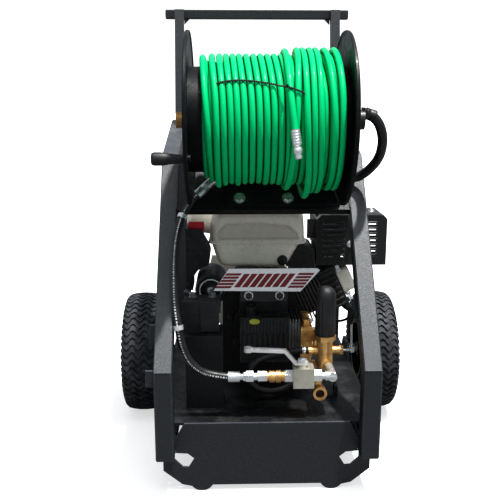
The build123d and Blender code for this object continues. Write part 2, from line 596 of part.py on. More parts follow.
with BuildPart() as fuel_cap:
    turned((*CAP_AT, 608), (0, 0, 1), [(0, 24 + GAP), (0, 31), (14, 31), (18, 27), (18, 0), (8, 0), (8, 24 + GAP)])
    with BuildSketch(at_z(609)):
        with Locations(CAP_AT):
            with PolarLocations(31, 24):
                Circle(1.2)
    extrude(amount=12)
save(fuel_cap.part, "fuel_cap")

# ---------------------------------------------------------------- control box and starter
BOX_Y = (Y0 + 300, Y0 + 380)
with BuildPart() as control_box:
    prism(at_y(BOX_Y[0]), [(-190, 396), (-173, 396), (-173, 428), (-160, 447), (-146, 455), (-132, 462),
                           (-129, 486), (-134, 502), (-147, 525), (-147, 552), (-190, 552)],
          -(BOX_Y[1] - BOX_Y[0]))
    block((-186, -162), (BOX_Y[0] - 2, BOX_Y[0]), (490, 492.5))
    rod((-165, BOX_Y[0] - 5, 471), (-165, BOX_Y[0], 471), 8)
    block((-184, -142), (BOX_Y[0] + 2, BOX_Y[0] + 34), (538, 553), mode=Mode.SUBTRACT)
save(control_box.part, "control_box")
SWITCH_AT = (-163.0, BOX_Y[0] + 18, 552.0)
with BuildPart() as engine_switch:
    with BuildSketch(at_x(-182)):
        with BuildLine():
            Polyline((SWITCH_AT[1] - 13, 569), (SWITCH_AT[1] - 11, 545), (SWITCH_AT[1] + 11, 545),
                     (SWITCH_AT[1] + 13, 560), (SWITCH_AT[1], 561), close=True)
        make_face()
    extrude(amount=38)
save(engine_switch.part, "engine_switch")

STARTER_X, STARTER_Z, STARTER_R = -128.0, 404.0, 39.0
with BuildPart() as starter_motor:
    turned((STARTER_X, Y0 + 270, STARTER_Z), (0, 1, 0),
           [(0, 0), (0, 12), (3, 14), (3, 30), (0, 32), (0, 36), (4, STARTER_R), (126, STARTER_R), (126, 22),
            (150, 22), (150, 0)])
    for angle in (60, 240):
        y = Y0 + 270
        x, z = STARTER_X + 22 * cos(radians(angle)), STARTER_Z + 22 * sin(radians(angle))
        hexagon((x, y - 2, z), (x, y + 8, z), 7)
save(starter_motor.part, "starter_motor")

# ---------------------------------------------------------------- exhaust and intake
GUARD_X, GUARD_Y, GUARD_Z = (140.0, 320.0), (Y0 + 350, Y0 + 470), (446.0, 576.0)
with BuildPart() as muffler:
    block((150, 270), (GUARD_Y[0] + 14, GUARD_Y[1] - 12), (GUARD_Z[0] + 24, GUARD_Z[1] - 12))
    tall = muffler.edges().filter_by(Axis.Y)
    fillet(tall, radius=26)
    port = on_cylinder(205, 56)
    rod((port[0], Y0 + 430, port[1] + 7), (port[0], Y0 + 430, GUARD_Z[0] + 34), 14)
save(muffler.part, "muffler")
with BuildPart() as muffler_guard:
    guard = [(GUARD_X[0], GUARD_Z[0]), (GUARD_X[1], GUARD_Z[0]), (GUARD_X[1], GUARD_Z[1] - 10),
             (GUARD_X[1] - 10, GUARD_Z[1]), (GUARD_X[0] + 12, GUARD_Z[1]), (GUARD_X[0], GUARD_Z[1] - 12)]
    prism(at_y(GUARD_Y[0]), guard, -(GUARD_Y[1] - GUARD_Y[0]))
    block((GUARD_X[0] + 3, GUARD_X[1] - 3), (GUARD_Y[0] + 3, GUARD_Y[1] + 1), (GUARD_Z[0] + 3, GUARD_Z[1] - 3),
          mode=Mode.SUBTRACT)
    block((GUARD_X[0] + 4, 225), (GUARD_Y[0] + 60, GUARD_Y[1] + 1), (GUARD_Z[0] - 1, GUARD_Z[0] + 4),
          mode=Mode.SUBTRACT)
    # heat shield on the guard's side, towards the tank
    block((118, GUARD_X[0] + 1), (GUARD_Y[0] + 26, GUARD_Y[0] + 28), (512, GUARD_Z[1] - 14))
    with BuildSketch(at_y(GUARD_Y[0])):
        with Locations(*[(x, GUARD_Z[0] + 24 + i * 14) for i in range(7) for x in (185, 268)]):
            SlotOverall(58, 6)
    extrude(amount=-4, mode=Mode.SUBTRACT)
save(muffler_guard.part, "muffler_guard")

LEVER_X, LEVER_Y = 194.0, Y0 + 496
with BuildPart() as carburettor:
    block((140, 186), (Y0 + 482, Y0 + 512), (484, 520))
    block((146, 178), (Y0 + 480, Y0 + 510), (410, 484))
    # bracket and pin that the control levers turn on
    block((178, 186), (Y0 + 486, Y0 + 506), (449, 509))
    for z in (449, 506):
        block((186, LEVER_X + 3), (LEVER_Y - 5, LEVER_Y + 5), (z, z + 3))
    rod((LEVER_X, LEVER_Y, 452), (LEVER_X, LEVER_Y, 506), 2)
save(carburettor.part, "carburettor")
with BuildPart() as air_cleaner:
    prism(at_y(Y0 + 514), [(150, 470), (268, 470), (278, 480), (278, 560), (262, 580), (160, 580), (150, 566)],
          -82)
    tall = air_cleaner.edges().filter_by(Axis.Y)
    fillet(tall, radius=8)
    rod((214, Y0 + 558, 580), (214, Y0 + 558, 592), 9)
save(air_cleaner.part, "air_cleaner")

LEVERS = {"throttle_lever": (496, 30), "choke_lever": (478, 24), "fuel_valve_lever": (460, 22)}
for name, (z, reach) in LEVERS.items():
    with BuildPart() as lever:
        rod((LEVER_X, LEVER_Y, z), (LEVER_X, LEVER_Y, z + 4), 6)
        block((LEVER_X, LEVER_X + reach), (LEVER_Y - 3, LEVER_Y + 3), (z, z + 3))
        rod((LEVER_X + reach, LEVER_Y, z - 2), (LEVER_X + reach, LEVER_Y, z + 8), 4.5)
        rod((LEVER_X, LEVER_Y, z - 1), (LEVER_X, LEVER_Y, z + 5), 2 + RUN, mode=Mode.SUBTRACT)
    save(lever.part, name)

# ---------------------------------------------------------------- pump
PUMP_X, PUMP_Z = (-57.0, 60.0), (243.0, 354.0)
FLANGE_TOP = 411.0
RIB_Z = (283.0, 314.0)
with BuildPart() as pump_crankcase:
    block(PUMP_X, PUMP_Y, PUMP_Z)
    block(PUMP_X, (PUMP_Y[0] + 56, PUMP_Y[1]), (PUMP_Z[1], FLANGE_TOP))
    # cooling ribs across the front and on top
    for i in range(9):
        x = -50 + i * 12.5
        block((x, x + 4), (PUMP_Y[0] - 7, PUMP_Y[0]), RIB_Z)
    for i in range(13):
        x = -47 + i * 8
        block((x, x + 2.5), (PUMP_Y[0] - 3, PUMP_Y[0]), (RIB_Z[1] + 4, PUMP_Z[1]))
    rod((0, PUMP_Y[0] + 8, CRANK_Z), (0, PUMP_Y[1] - 8, CRANK_Z), 48, mode=Mode.SUBTRACT)
    rod((0, PUMP_Y[0] + 4, CRANK_Z), (0, PUMP_Y[1] + 1, CRANK_Z), SHAFT_R + RUN, mode=Mode.SUBTRACT)
    # bell that bolts the pump to the engine
    ring((0, PUMP_Y[1], CRANK_Z), (0, ENGINE_Y[0] - 10, CRANK_Z), 72, 40)
    ring((0, ENGINE_Y[0] - 10, CRANK_Z), (0, ENGINE_Y[0], CRANK_Z), 72, 62)
    # oil filler
    rod((-30, PUMP_Y[0] + 28, PUMP_Z[1]), (-30, PUMP_Y[0] + 28, PUMP_Z[1] + 14), 11)
    # oval badge
    with BuildSketch(at_y(PUMP_Y[0] - 3)):
        with Locations((-23, 347)):
            Ellipse(13, 7)
    extrude(amount=2.5)
save(pump_crankcase.part, "pump_crankcase")

HEAD_X = (60.0, 88.0)
MANIFOLD_X = (88.0, 116.0)
PLUNGER_Y = (PUMP_Y[0] + 22, PUMP_Y[0] + 48, PUMP_Y[0] + 74)
PLUNGER_Z = 304.0
HEAD_Z = (264.0, 350.0)
with BuildPart() as pump_head:
    for i in range(4):
        x = HEAD_X[0] + 1 + i * 7
        block((x, x + 3.5), (PUMP_Y[0] + 2, PUMP_Y[1] - 2), HEAD_Z)
    block(HEAD_X, (PUMP_Y[0] + 8, PUMP_Y[1] - 8), (HEAD_Z[0] + 10, HEAD_Z[1] - 10))
    for y in PLUNGER_Y:
        rod((HEAD_X[0], y, PLUNGER_Z), (HEAD_X[1], y, PLUNGER_Z), 9, mode=Mode.SUBTRACT)
save(pump_head.part, "pump_head")
with BuildPart() as pump_plungers:
    for y in PLUNGER_Y:
        rod((HEAD_X[0] + 1, y, PLUNGER_Z), (MANIFOLD_X[0] + 10, y, PLUNGER_Z), 8.9)
save(pump_plungers.part, "pump_plungers")

VALVE_Y, VALVE_Z = Y0 + 68, 261.0
INLET_X, INLET_Z = 119.0, 221.0
UNLOADER = (139.0, Y0 + 146)
with BuildPart() as pump_manifold:
    block(MANIFOLD_X, (PUMP_Y[0] - 2, PUMP_Y[1] - 6), (256, 330))
    middle = (MANIFOLD_X[0] + MANIFOLD_X[1]) / 2
    for y in PLUNGER_Y:
        rod((middle, y, 330), (middle, y, 333), 11)
        hexagon((middle, y, 333), (middle, y, 345), 20)
        hexagon((MANIFOLD_X[1], y, 276), (MANIFOLD_X[1] + 9, y, 276), 18)
        rod((MANIFOLD_X[0] - 1, y, PLUNGER_Z), (MANIFOLD_X[0] + 16, y, PLUNGER_Z), 9, mode=Mode.SUBTRACT)
    # water inlet with its hose thread, facing forwards under the manifold
    rod((INLET_X - 14, PUMP_Y[0] + 20, INLET_Z), (INLET_X - 14, PUMP_Y[0] + 20, 256), 12)
    block((INLET_X - 26, INLET_X + 8), (PUMP_Y[0] + 6, PUMP_Y[0] + 34), (INLET_Z - 13, INLET_Z + 13))
    ring((INLET_X, Y0 + 60, INLET_Z), (INLET_X, Y0 + 80, INLET_Z), 15.5, 10)
    rod((INLET_X, Y0 + 80, INLET_Z), (INLET_X, PUMP_Y[0] + 6, INLET_Z), 10.5)
save(pump_manifold.part, "pump_manifold")

# Unloader: an upright valve body on the manifold's front, with a tall domed adjusting knob.
with BuildPart() as unloader_body:
    ux, uy = UNLOADER
    block((116, 150), (uy + 2, PUMP_Y[0] + 8), (296, 328))
    rod((ux, uy, 254), (ux, uy, 328), 19)
    hexagon((ux, uy, 318), (ux, uy, 330), 44)
    rod((ux, uy, 330), (ux, uy, 372), 9)
    rod((ux + 10, uy, 292), (ux + 34, uy, 292), 10)
    hexagon((ux + 34, uy, 292), (ux + 42, uy, 292), 20)
    rod((ux + 24, uy, 292), (ux + 43, uy, 292), 3 + RUN, mode=Mode.SUBTRACT)
    rod((ux - 16, uy, 292), (ux - 38, uy, 292), 9)
    rod((ux, uy - 10, VALVE_Z + 3), (ux, uy - 26, VALVE_Z + 3), 12)
save(unloader_body.part, "unloader_body")
with BuildPart() as unloader_knob:
    turned((*UNLOADER, 0), (0, 0, 1), [(331, 9 + RUN), (331, 24), (428, 24), (438, 21), (444, 15), (447, 7), (447, 0),
                                       (373, 0), (373, 9 + RUN)])
    with BuildSketch(at_z(331)):
        with Locations(UNLOADER):
            with PolarLocations(25, 12):
                Circle(2)
    extrude(amount=94, mode=Mode.SUBTRACT)
save(unloader_knob.part, "unloader_knob")

IDLE_AT = (UNLOADER[0] + 46, UNLOADER[1], 292.0)
with BuildPart() as idle_lever:
    ix, iy, iz = IDLE_AT
    rod((ix - 20, iy, iz), (ix + 22, iy, iz), 3)
    prism(at_x(ix + 14), [(iy - 5, iz - 5), (iy + 5, iz - 5), (iy + 12, iz + 58), (iy + 4, iz + 60)], 4)
    rod((ix + 18, iy, iz), (ix + 22, iy, iz), 6)
save(idle_lever.part, "idle_lever")

# ---------------------------------------------------------------- outlet line: elbow, ball valve, coupler, hose
FEED_R, WHIP_R = 9.0, 9.5
FEED = [(-86, VALVE_Y, VALVE_Z), (-118, VALVE_Y, VALVE_Z + 4), (-148, VALVE_Y - 2, 276),
        (-172, VALVE_Y - 6, 301), (-186, VALVE_Y - 10, 338), (-192.5, Y0 + 58, 380),
        on_slope(-200, 150, 16), on_slope(-203, 206, 18), on_slope(-204, 262, 17), on_slope(-201, 316, 14),
        on_slope(-191, 364, 13), on_slope(-176, 396, 13), on_slope(-157, 420, 14)]
with BuildPart() as steel_fittings:
    ex = UNLOADER[0] + 7
    # elbow from the unloader to the valve
    rod((ex, VALVE_Y - 10, VALVE_Z), (ex, UNLOADER[1] - 26, VALVE_Z), 10)
    rod((122, VALVE_Y, VALVE_Z), (ex, VALVE_Y, VALVE_Z), 8.5)
    rod((130, VALVE_Y, VALVE_Z), (ex + 6, VALVE_Y, VALVE_Z), 11)
    hexagon((104, VALVE_Y, VALVE_Z), (122, VALVE_Y, VALVE_Z), 26)
    hexagon((40, VALVE_Y, VALVE_Z), (58, VALVE_Y, VALVE_Z), 26)
    # swivel end of the feed hose: crimped ferrule, hexagons and collar
    for start, end, radius in ((-86, -60, 12), (-60, -52, 8), (-30, -20, 9)):
        ring((start, VALVE_Y, VALVE_Z), (end, VALVE_Y, VALVE_Z), radius, 5)
    for start, end, flats in ((-52, -46, 20), (-46, -30, 24), (-20, 0, 22)):
        hexagon((start, VALVE_Y, VALVE_Z), (end, VALVE_Y, VALVE_Z), flats)
    # joiner between the two hoses behind the reel
    low, high = Vector(*on_slope(-157, 420, 14)), Vector(*on_slope(-122, 458, 15))
    way = (high - low).normalized()
    length = (high - low).length
    ring(tuple(low), tuple(low + way * 20), 11.5, 5)
    hexagon(tuple(low + way * 20), tuple(high - way * 20), 19)
    ring(tuple(high - way * 20), tuple(high), 11.5, 5)
    # two clips that hold the feed hose to the leg
    for i in (5, 10):
        along = Vector(*FEED[i + 1]) - Vector(*FEED[i - 1])
        with BuildSketch(Plane(origin=FEED[i], z_dir=along)):
            Circle(FEED_R + 2.2)
            Circle(FEED_R + 0.3, mode=Mode.SUBTRACT)
        extrude(amount=5, both=True)
save(steel_fittings.part, "steel_fittings")

BLOCK_X = (58.0, 104.0)
STEM_X = 79.0
with BuildPart() as ball_valve_body:
    block(BLOCK_X, (VALVE_Y - 19, VALVE_Y + 19), (239, 284))
    rod((BLOCK_X[0] - 1, VALVE_Y, VALVE_Z), (BLOCK_X[1] + 1, VALVE_Y, VALVE_Z), 7, mode=Mode.SUBTRACT)
    with Locations((STEM_X, VALVE_Y, VALVE_Z)):
        Sphere(12 + RUN, mode=Mode.SUBTRACT)
    rod((STEM_X, VALVE_Y, VALVE_Z), (STEM_X, VALVE_Y, 285), 5 + RUN, mode=Mode.SUBTRACT)
    ring((STEM_X, VALVE_Y, 284), (STEM_X, VALVE_Y, 289), 10, 5 + RUN)
save(ball_valve_body.part, "ball_valve_body")
with BuildPart() as ball_valve_lever:
    with Locations((STEM_X, VALVE_Y, VALVE_Z)):
        Sphere(12)
    rod((BLOCK_X[0], VALVE_Y, VALVE_Z), (BLOCK_X[1], VALVE_Y, VALVE_Z), 7, mode=Mode.SUBTRACT)
    rod((STEM_X, VALVE_Y, VALVE_Z + 9), (STEM_X, VALVE_Y, 304), 5)
    prism(at_y(VALVE_Y + 8), [(STEM_X + 13, 289.5), (STEM_X + 13, 295), (STEM_X - 13, 295), (STEM_X - 37, 324),
                              (STEM_X - 122, 328), (STEM_X - 122, 321.5), (STEM_X - 41, 317.5),
                              (STEM_X - 17, 289.5)], 16)
    hexagon((STEM_X, VALVE_Y, 295), (STEM_X, VALVE_Y, 302), 17)
    with BuildSketch(at_z(320)):
        with Locations((STEM_X - 120, VALVE_Y)):
            Circle(10)
    extrude(amount=9.5)
save(ball_valve_lever.part, "ball_valve_lever")

with BuildPart() as quick_coupler:
    turned((0, VALVE_Y, VALVE_Z), (1, 0, 0), [(0, 6), (0, 11), (5, 11), (5, 14), (17, 14), (17, 12), (20, 12),
                                              (20, 14.5), (31, 14.5), (31, 11), (34, 11), (34, 12.5), (40, 12.5),
                                              (40, 6)])
save(quick_coupler.part, "quick_coupler")

with BuildPart() as feed_hose:
    print("feed hose: length %.0f, least radius %.0f" % tube(FEED, FEED_R))
save(feed_hose.part, "feed_hose")

WHIP = [on_slope(-122, 458, 15), on_slope(-96, 468, 17), on_slope(-48, HOSE_UP + 3, HOSE_OUT),
        on_slope(8, HOSE_UP + 1, HOSE_OUT - 0.4), on_slope(66, HOSE_UP + 1.5, HOSE_OUT),
        on_slope(124, HOSE_UP, HOSE_OUT), on_slope(176, HOSE_UP + 1, HOSE_OUT), on_slope(222, HOSE_UP - 6, 20),
        (250, Y0 + 232, 712), (262, Y0 + 190, 748), (260, Y0 + 156, 790), (248, Y0 + 136, 820),
        (232, Y0 + REEL_FORWARD + 1, 833), (SWIVEL_X[1] + 2, Y0 + REEL_FORWARD, 834)]
with BuildPart() as whip_hose:
    print("whip hose: length %.0f, least radius %.0f" % tube(WHIP, WHIP_R))
save(whip_hose.part, "whip_hose")

with BuildPart() as reel_swivel:
    yz = REEL_AXIS[1:]
    ring((SWIVEL_X[0], *yz), (SWIVEL_X[1] - 5, *yz), 21, AXLE_R + RUN)
    rod((SWIVEL_X[1] - 5, *yz), (SWIVEL_X[1] - 1, *yz), 21)
    block((SWIVEL_X[1] - 5, SWIVEL_X[1] - 1), (yz[0] - 12, yz[0] + 12), (REEL_Z, 846))
    hexagon((SWIVEL_X[1] - 1, yz[0], 834), (SWIVEL_X[1] + 2, yz[0], 834), 20)
save(reel_swivel.part, "reel_swivel")

BYPASS_R = 8.0
BYPASS = [(101, UNLOADER[1], 292), (84, UNLOADER[1], 292), (66, UNLOADER[1] + 4, 289), (44, UNLOADER[1] + 10, 281),
          (14, UNLOADER[1] + 15, 274), (-16, UNLOADER[1] + 14, 264), (-36, UNLOADER[1] + 10, 244),
          (-38, UNLOADER[1] + 6, 218), (-20, UNLOADER[1] + 4, 198), (8, UNLOADER[1] + 6, 189),
          (38, UNLOADER[1] + 12, 190), (62, UNLOADER[1] + 24, 198), (82, PUMP_Y[0] + 16, 210),
          (93, PUMP_Y[0] + 20, 214)]
with BuildPart() as bypass_hose:
    print("bypass hose: length %.0f, least radius %.0f" % tube(BYPASS, BYPASS_R))
save(bypass_hose.part, "bypass_hose")

# ---------------------------------------------------------------- name plate of checker plate
PLATE_Y = Y0 + 150
CHECKER = [(-118, 437), (-83, 488), (118, 488), (124, 484), (80, 434)]
with BuildPart() as checker_plate:
    prism(at_y(PLATE_Y), CHECKER, 3)
save(checker_plate.part, "checker_plate")
with BuildPart() as plate_bracket:
    block((-56, 48), (PLATE_Y, PLATE_Y + 4), (FLANGE_TOP, 474))
    block((-56, 48), (PLATE_Y + 4, PUMP_Y[1] - 4), (FLANGE_TOP, FLANGE_TOP + 4))
    for x in (-38, 33):
        hexagon((x, PLATE_Y, 424), (x, PLATE_Y - 7, 424), 15)
save(plate_bracket.part, "plate_bracket")
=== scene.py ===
import json
import random
from math import cos, hypot, pi, radians, sin

import bmesh
import bpy
from mathutils import Matrix, Vector


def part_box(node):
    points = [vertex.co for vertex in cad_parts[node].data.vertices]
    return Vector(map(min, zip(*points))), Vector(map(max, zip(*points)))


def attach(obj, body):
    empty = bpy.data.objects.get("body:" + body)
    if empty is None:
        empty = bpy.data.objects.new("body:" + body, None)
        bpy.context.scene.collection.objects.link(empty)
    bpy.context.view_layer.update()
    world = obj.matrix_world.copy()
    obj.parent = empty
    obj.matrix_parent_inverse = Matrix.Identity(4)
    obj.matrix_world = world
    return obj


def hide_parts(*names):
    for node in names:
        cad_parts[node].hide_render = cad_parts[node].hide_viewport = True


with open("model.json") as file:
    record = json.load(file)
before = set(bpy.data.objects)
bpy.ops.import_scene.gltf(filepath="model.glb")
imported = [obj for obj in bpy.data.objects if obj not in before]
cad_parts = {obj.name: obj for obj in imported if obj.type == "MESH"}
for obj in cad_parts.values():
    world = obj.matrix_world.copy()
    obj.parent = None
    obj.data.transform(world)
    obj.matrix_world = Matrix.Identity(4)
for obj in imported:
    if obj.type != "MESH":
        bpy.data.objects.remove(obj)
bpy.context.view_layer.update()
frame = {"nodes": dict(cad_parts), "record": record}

NODES = frame["nodes"]
X, Y, Z = Vector((1, 0, 0)), Vector((0, 1, 0)), Vector((0, 0, 1))
MM = 0.001

# ---------------------------------------------------------------- places, from the frame
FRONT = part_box("side_frame_left")[0].y           # front face of the front legs
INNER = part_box("side_frame_right")[0].x          # inside faces of the side frames
REEL_LOW, REEL_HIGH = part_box("reel_drum")
REEL_Z = (REEL_LOW.z + REEL_HIGH.z) / 2
REEL_Y = (REEL_LOW.y + REEL_HIGH.y) / 2
HOSE_R = 6.6                                     # mm, radius of the green hose
BEND_Z = 0.299                                   # where the legs start to lean back
LEAN = Vector((0, 0.327, 0.434)).normalized()    # up the leaning face
OUT = Vector((0, -LEAN.z, LEAN.y))               # away from it
CRANK_Z = 0.298
TILT = radians(25)                               # the cylinder's rise from level
BORE_BACK = 410                                  # mm behind the legs' front face, the middle of the cylinder


def mm(*points):
    """Points or rows of sizes that are written in millimetres."""
    return [tuple(v * MM for v in point) for point in points]


def at(x, back, z):
    """A point from its place across, behind the legs' front face and up, in millimetres."""
    return Vector((x * MM, FRONT + back * MM, z * MM))


def on_slope(x, up, out):
    """A point from its place across and up the legs' leaning face and its height above it, in millimetres."""
    return Vector((x * MM, FRONT, BEND_Z)) + (LEAN * up + OUT * out) * MM


def on_reel(x, angle, radius):
    """A point round the reel, in millimetres and degrees: 0 degrees is the front, 90 the top."""
    a = radians(angle)
    return Vector((x * MM, REEL_Y - radius * MM * cos(a), REEL_Z + radius * MM * sin(a)))


def on_cylinder(along, across, back=BORE_BACK):
    """A point along the engine cylinder's tilted axis and across it, in millimetres."""
    return at(along * cos(TILT) - across * sin(TILT), back,
              CRANK_Z / MM + along * sin(TILT) + across * cos(TILT))


# ---------------------------------------------------------------- materials
class Finish:
    """A Principled material whose colour, roughness and relief are built up in layers."""

    def __init__(self, name, color, rough, metal=0.0, coat=0.0, specular=0.5):
        self.material = bpy.data.materials.new(name)
        self.material.use_nodes = True
        self.tree = self.material.node_tree
        self.bsdf = self.tree.nodes["Principled BSDF"]
        self.bsdf.inputs["Metallic"].default_value = metal
        self.bsdf.inputs["Coat Weight"].default_value = coat
        self.bsdf.inputs["Coat Roughness"].default_value = 0.12
        self.bsdf.inputs["Specular IOR Level"].default_value = specular
        self.place = self.add("ShaderNodeTexCoord").outputs["Object"]
        self.color, self.rough, self.normal = (*color, 1), rough, None

    def add(self, kind, settings=None, **inputs):
        """A node with its settings and inputs; an input is a value or another node's output."""
        node = self.tree.nodes.new(kind)
        for key, value in (settings or {}).items():
            setattr(node, key, value)
        for key, value in inputs.items():
            self.put(node.inputs[key.replace("_", " ")], value)
        return node

    def put(self, socket, value):
        if isinstance(value, bpy.types.NodeSocket):
            self.tree.links.new(value, socket)
        else:
            socket.default_value = value

    def span(self, value, low, high, to=(0.0, 1.0)):
        """The value's stretch from low to high, as a mask from 0 to 1."""
        node = self.add("ShaderNodeMapRange", Value=value, From_Min=low, From_Max=high, To_Min=to[0],
                        To_Max=to[1])
        return node.outputs[0]

    def noise(self, scale, detail=3.0, stretch=(1, 1, 1)):
        place = self.add("ShaderNodeMapping", Vector=self.place, Scale=stretch).outputs[0]
        return self.add("ShaderNodeTexNoise", Vector=place, Scale=scale, Detail=detail).outputs["Fac"]

    def cells(self, scale):
        return self.add("ShaderNodeTexVoronoi", Vector=self.place, Scale=scale).outputs["Distance"]

    def times(self, a, b):
        node = self.add("ShaderNodeMath", {"operation": "MULTIPLY"})
        self.put(node.inputs[0], a)
        self.put(node.inputs[1], b)
        return node.outputs[0]

    def edges(self, radius):
        """A mask of the sharp edges, from how far a rounded normal leans away from the plain one."""
        rounded = self.add("ShaderNodeBevel", {"samples": 4}, Radius=radius).outputs[0]
        plain = self.add("ShaderNodeNewGeometry").outputs["Normal"]
        node = self.add("ShaderNodeVectorMath", {"operation": "DOT_PRODUCT"})
        self.put(node.inputs[0], rounded)
        self.put(node.inputs[1], plain)
        return self.span(node.outputs["Value"], 0.99, 0.86)

    def upward(self, low=0.5, high=0.95):
        """A mask of the faces that look up: where dust settles, and where the frame paint gets a painted
        sheen of the light from above.
        """
        normal = self.add("ShaderNodeNewGeometry").outputs["Normal"]
        return self.span(self.add("ShaderNodeSeparateXYZ", Vector=normal).outputs["Z"], low, high)

    def hollows(self, distance, low=0.3, high=0.8):
        """A mask of the narrow gaps, from how much of the surroundings is hidden within a distance; it places
        painted shade.
        """
        hidden = self.add("ShaderNodeAmbientOcclusion", {"samples": 8}, Distance=distance).outputs["AO"]
        return self.span(hidden, high, low)

    def patches(self, scale, detail, low, high, share):
        """A mask of patches of noise, at a share of its full strength."""
        return self.times(self.span(self.noise(scale, detail), low, high), share)

    def smudges(self, scale, rough, low=0.4, high=0.7, detail=4):
        """Patches of another roughness."""
        return self.gloss(self.span(self.noise(scale, detail), low, high), rough)

    def tint(self, mask, color):
        node = self.add("ShaderNodeMix", {"data_type": "RGBA"})
        self.put(node.inputs[0], mask)
        self.put(node.inputs[6], self.color)
        self.put(node.inputs[7], (*color, 1))
        self.color = node.outputs[2]
        return self

    def gloss(self, mask, rough):
        node = self.add("ShaderNodeMix", {"data_type": "FLOAT"})
        self.put(node.inputs[0], mask)
        self.put(node.inputs[2], self.rough)
        self.put(node.inputs[3], rough)
        self.rough = node.outputs[0]
        return self

    def relief(self, height, depth, strength=1.0):
        node = self.add("ShaderNodeBump", Height=height, Distance=depth, Strength=strength)
        if self.normal is not None:
            self.put(node.inputs["Normal"], self.normal)
        self.normal = node.outputs[0]
        return self

    def done(self):
        self.put(self.bsdf.inputs["Base Color"], self.color)
        self.put(self.bsdf.inputs["Roughness"], self.rough)
        if self.normal is not None:
            self.put(self.bsdf.inputs["Normal"], self.normal)
        return self.material


def powder_coat(name, color, light):
    """Fine-textured black powder coat: sparkling grain, a painted bluish sheen of the light from above on the
    faces that lean up, a little dust on top and paint thin on the edges.
    """
    f = Finish(name, color, 0.44, specular=0.72)
    grain = f.noise(620, 2)
    f.tint(f.times(f.span(grain, 0.46, 0.74), 0.8), light)
    # painted light: an almost even bluish sheen on the faces that lean up towards the light from above, such
    # as the legs' leaning fronts
    f.tint(f.times(f.upward(0.35, 0.75), f.span(f.noise(300, 3), 0.3, 0.7, (0.45, 1.0))),
           (0.056, 0.062, 0.072))
    f.tint(f.times(f.upward(0.8, 0.98), f.span(f.noise(26, 5), 0.46, 0.8)), (0.1, 0.1, 0.096))
    f.tint(f.times(f.edges(0.0022), f.span(f.noise(60, 4), 0.3, 0.7)), (0.13, 0.14, 0.155))
    f.smudges(240, 0.56)
    return f.relief(grain, 0.0007).done()


def black_coat(name):
    """Smoother black paint of the tray, the reel's stand and the platform, with a film of dust."""
    f = Finish(name, (0.006, 0.0065, 0.0075), 0.42, specular=0.4)
    grain = f.noise(520, 2)
    f.tint(f.times(f.span(grain, 0.5, 0.75), 0.6), (0.02, 0.021, 0.024))
    f.tint(f.times(f.upward(), f.span(f.noise(18, 5), 0.5, 0.85)), (0.05, 0.05, 0.048))
    f.tint(f.times(f.edges(0.0018), 0.5), (0.09, 0.095, 0.1))
    f.smudges(70, 0.6, 0.4, 0.75)
    return f.relief(grain, 0.0005).done()


def satin_paint(name, color, light, rough=0.32):
    """Smooth sprayed paint with faint orange peel, scuffs and worn edges."""
    f = Finish(name, color, rough, coat=0.03, specular=0.2)
    f.tint(f.patches(12, 4, 0.4, 0.8, 0.5), light)
    f.tint(f.times(f.edges(0.0015), f.span(f.noise(110, 4), 0.35, 0.7)),
           [min(1.0, 3 * c + 0.05) for c in light])
    f.smudges(70, rough + 0.22, 0.45, 0.75, 5)
    return f.relief(f.noise(260, 2), 0.00025).done()


def cast_paint(name, color, light, worn=(0.13, 0.13, 0.135)):
    """Painted casting: pebbled surface, dust in the hollows and lighter edges: worn paint, and where the edge
    colour is bright, as on the fins, a painted highlight.
    """
    f = Finish(name, color, 0.46)
    pebbles = f.noise(330, 4)
    f.tint(f.span(pebbles, 0.5, 0.85), light)
    f.tint(f.times(f.upward(0.3, 0.9), f.span(f.noise(35, 5), 0.45, 0.8)), (0.12, 0.115, 0.105))
    # the edges in the colour given as worn: worn paint, and with the fin paint's bright colour a painted
    # highlight
    f.tint(f.times(f.edges(0.0015), 0.7), worn)
    f.smudges(80, 0.64)
    return f.relief(pebbles, 0.0008).done()


def cream_paint(name):
    """Glossy engine enamel, a little dusty on top and grimy low down, with painted shade in the tank's
    pressed panel.
    """
    f = Finish(name, (0.86, 0.83, 0.73), 0.24, coat=0.35)
    f.tint(f.patches(16, 5, 0.45, 0.8, 0.4), (0.66, 0.63, 0.53))
    f.tint(f.patches(190, 6, 0.62, 0.78, 0.6), (0.3, 0.27, 0.21))
    f.tint(f.times(f.edges(0.002), 0.35), (0.85, 0.83, 0.76))
    # painted shade in the tank's pressed panel, darker where it is pressed deeper
    recess = f.add("ShaderNodeAttribute", {"attribute_name": "recess"}).outputs["Fac"]
    f.tint(f.times(recess, 0.75), (0.53, 0.51, 0.43))
    f.smudges(60, 0.42, 0.4, 0.75)
    return f.relief(f.noise(120, 2), 0.0003).done()


def metal(name, color, rough, dark, grain=0.0002, stretch=(1, 1, 14)):
    """Machined or plated metal: fine brushing, smudges and bright edges."""
    f = Finish(name, color, rough, metal=0.8)
    brushed = f.noise(240, 4, stretch)
    f.tint(f.times(f.span(brushed, 0.4, 0.75), 0.45), dark)
    f.tint(f.patches(55, 5, 0.52, 0.75, 0.55), dark)
    f.tint(f.times(f.edges(0.0012), 0.6), [min(1.0, 1.25 * c + 0.06) for c in color])
    f.smudges(70, min(1.0, rough + 0.2))
    return f.relief(brushed, grain).done()


def casting(name, color, rough, dark):
    """Bare cast aluminium or forged brass with a sandy skin."""
    f = Finish(name, color, rough, metal=0.85)
    sand = f.noise(420, 4)
    f.tint(f.span(f.noise(60, 6), 0.45, 0.75), dark)
    f.tint(f.times(f.edges(0.0014), 0.7), [min(1.0, 1.3 * c + 0.04) for c in color])
    f.gloss(f.span(sand, 0.35, 0.7), rough + 0.2)
    return f.relief(sand, 0.0006).done()


def plastic(name, color, light, rough=0.45):
    """Moulded plastic with a fine spark-eroded grain."""
    f = Finish(name, color, rough)
    grain = f.cells(900)
    f.tint(f.patches(30, 5, 0.45, 0.8, 0.7), light)
    f.tint(f.times(f.edges(0.0015), 0.6), [min(1.0, 2.2 * c + 0.03) for c in light])
    f.smudges(100, rough + 0.18)
    return f.relief(grain, 0.0003, 0.7).done()


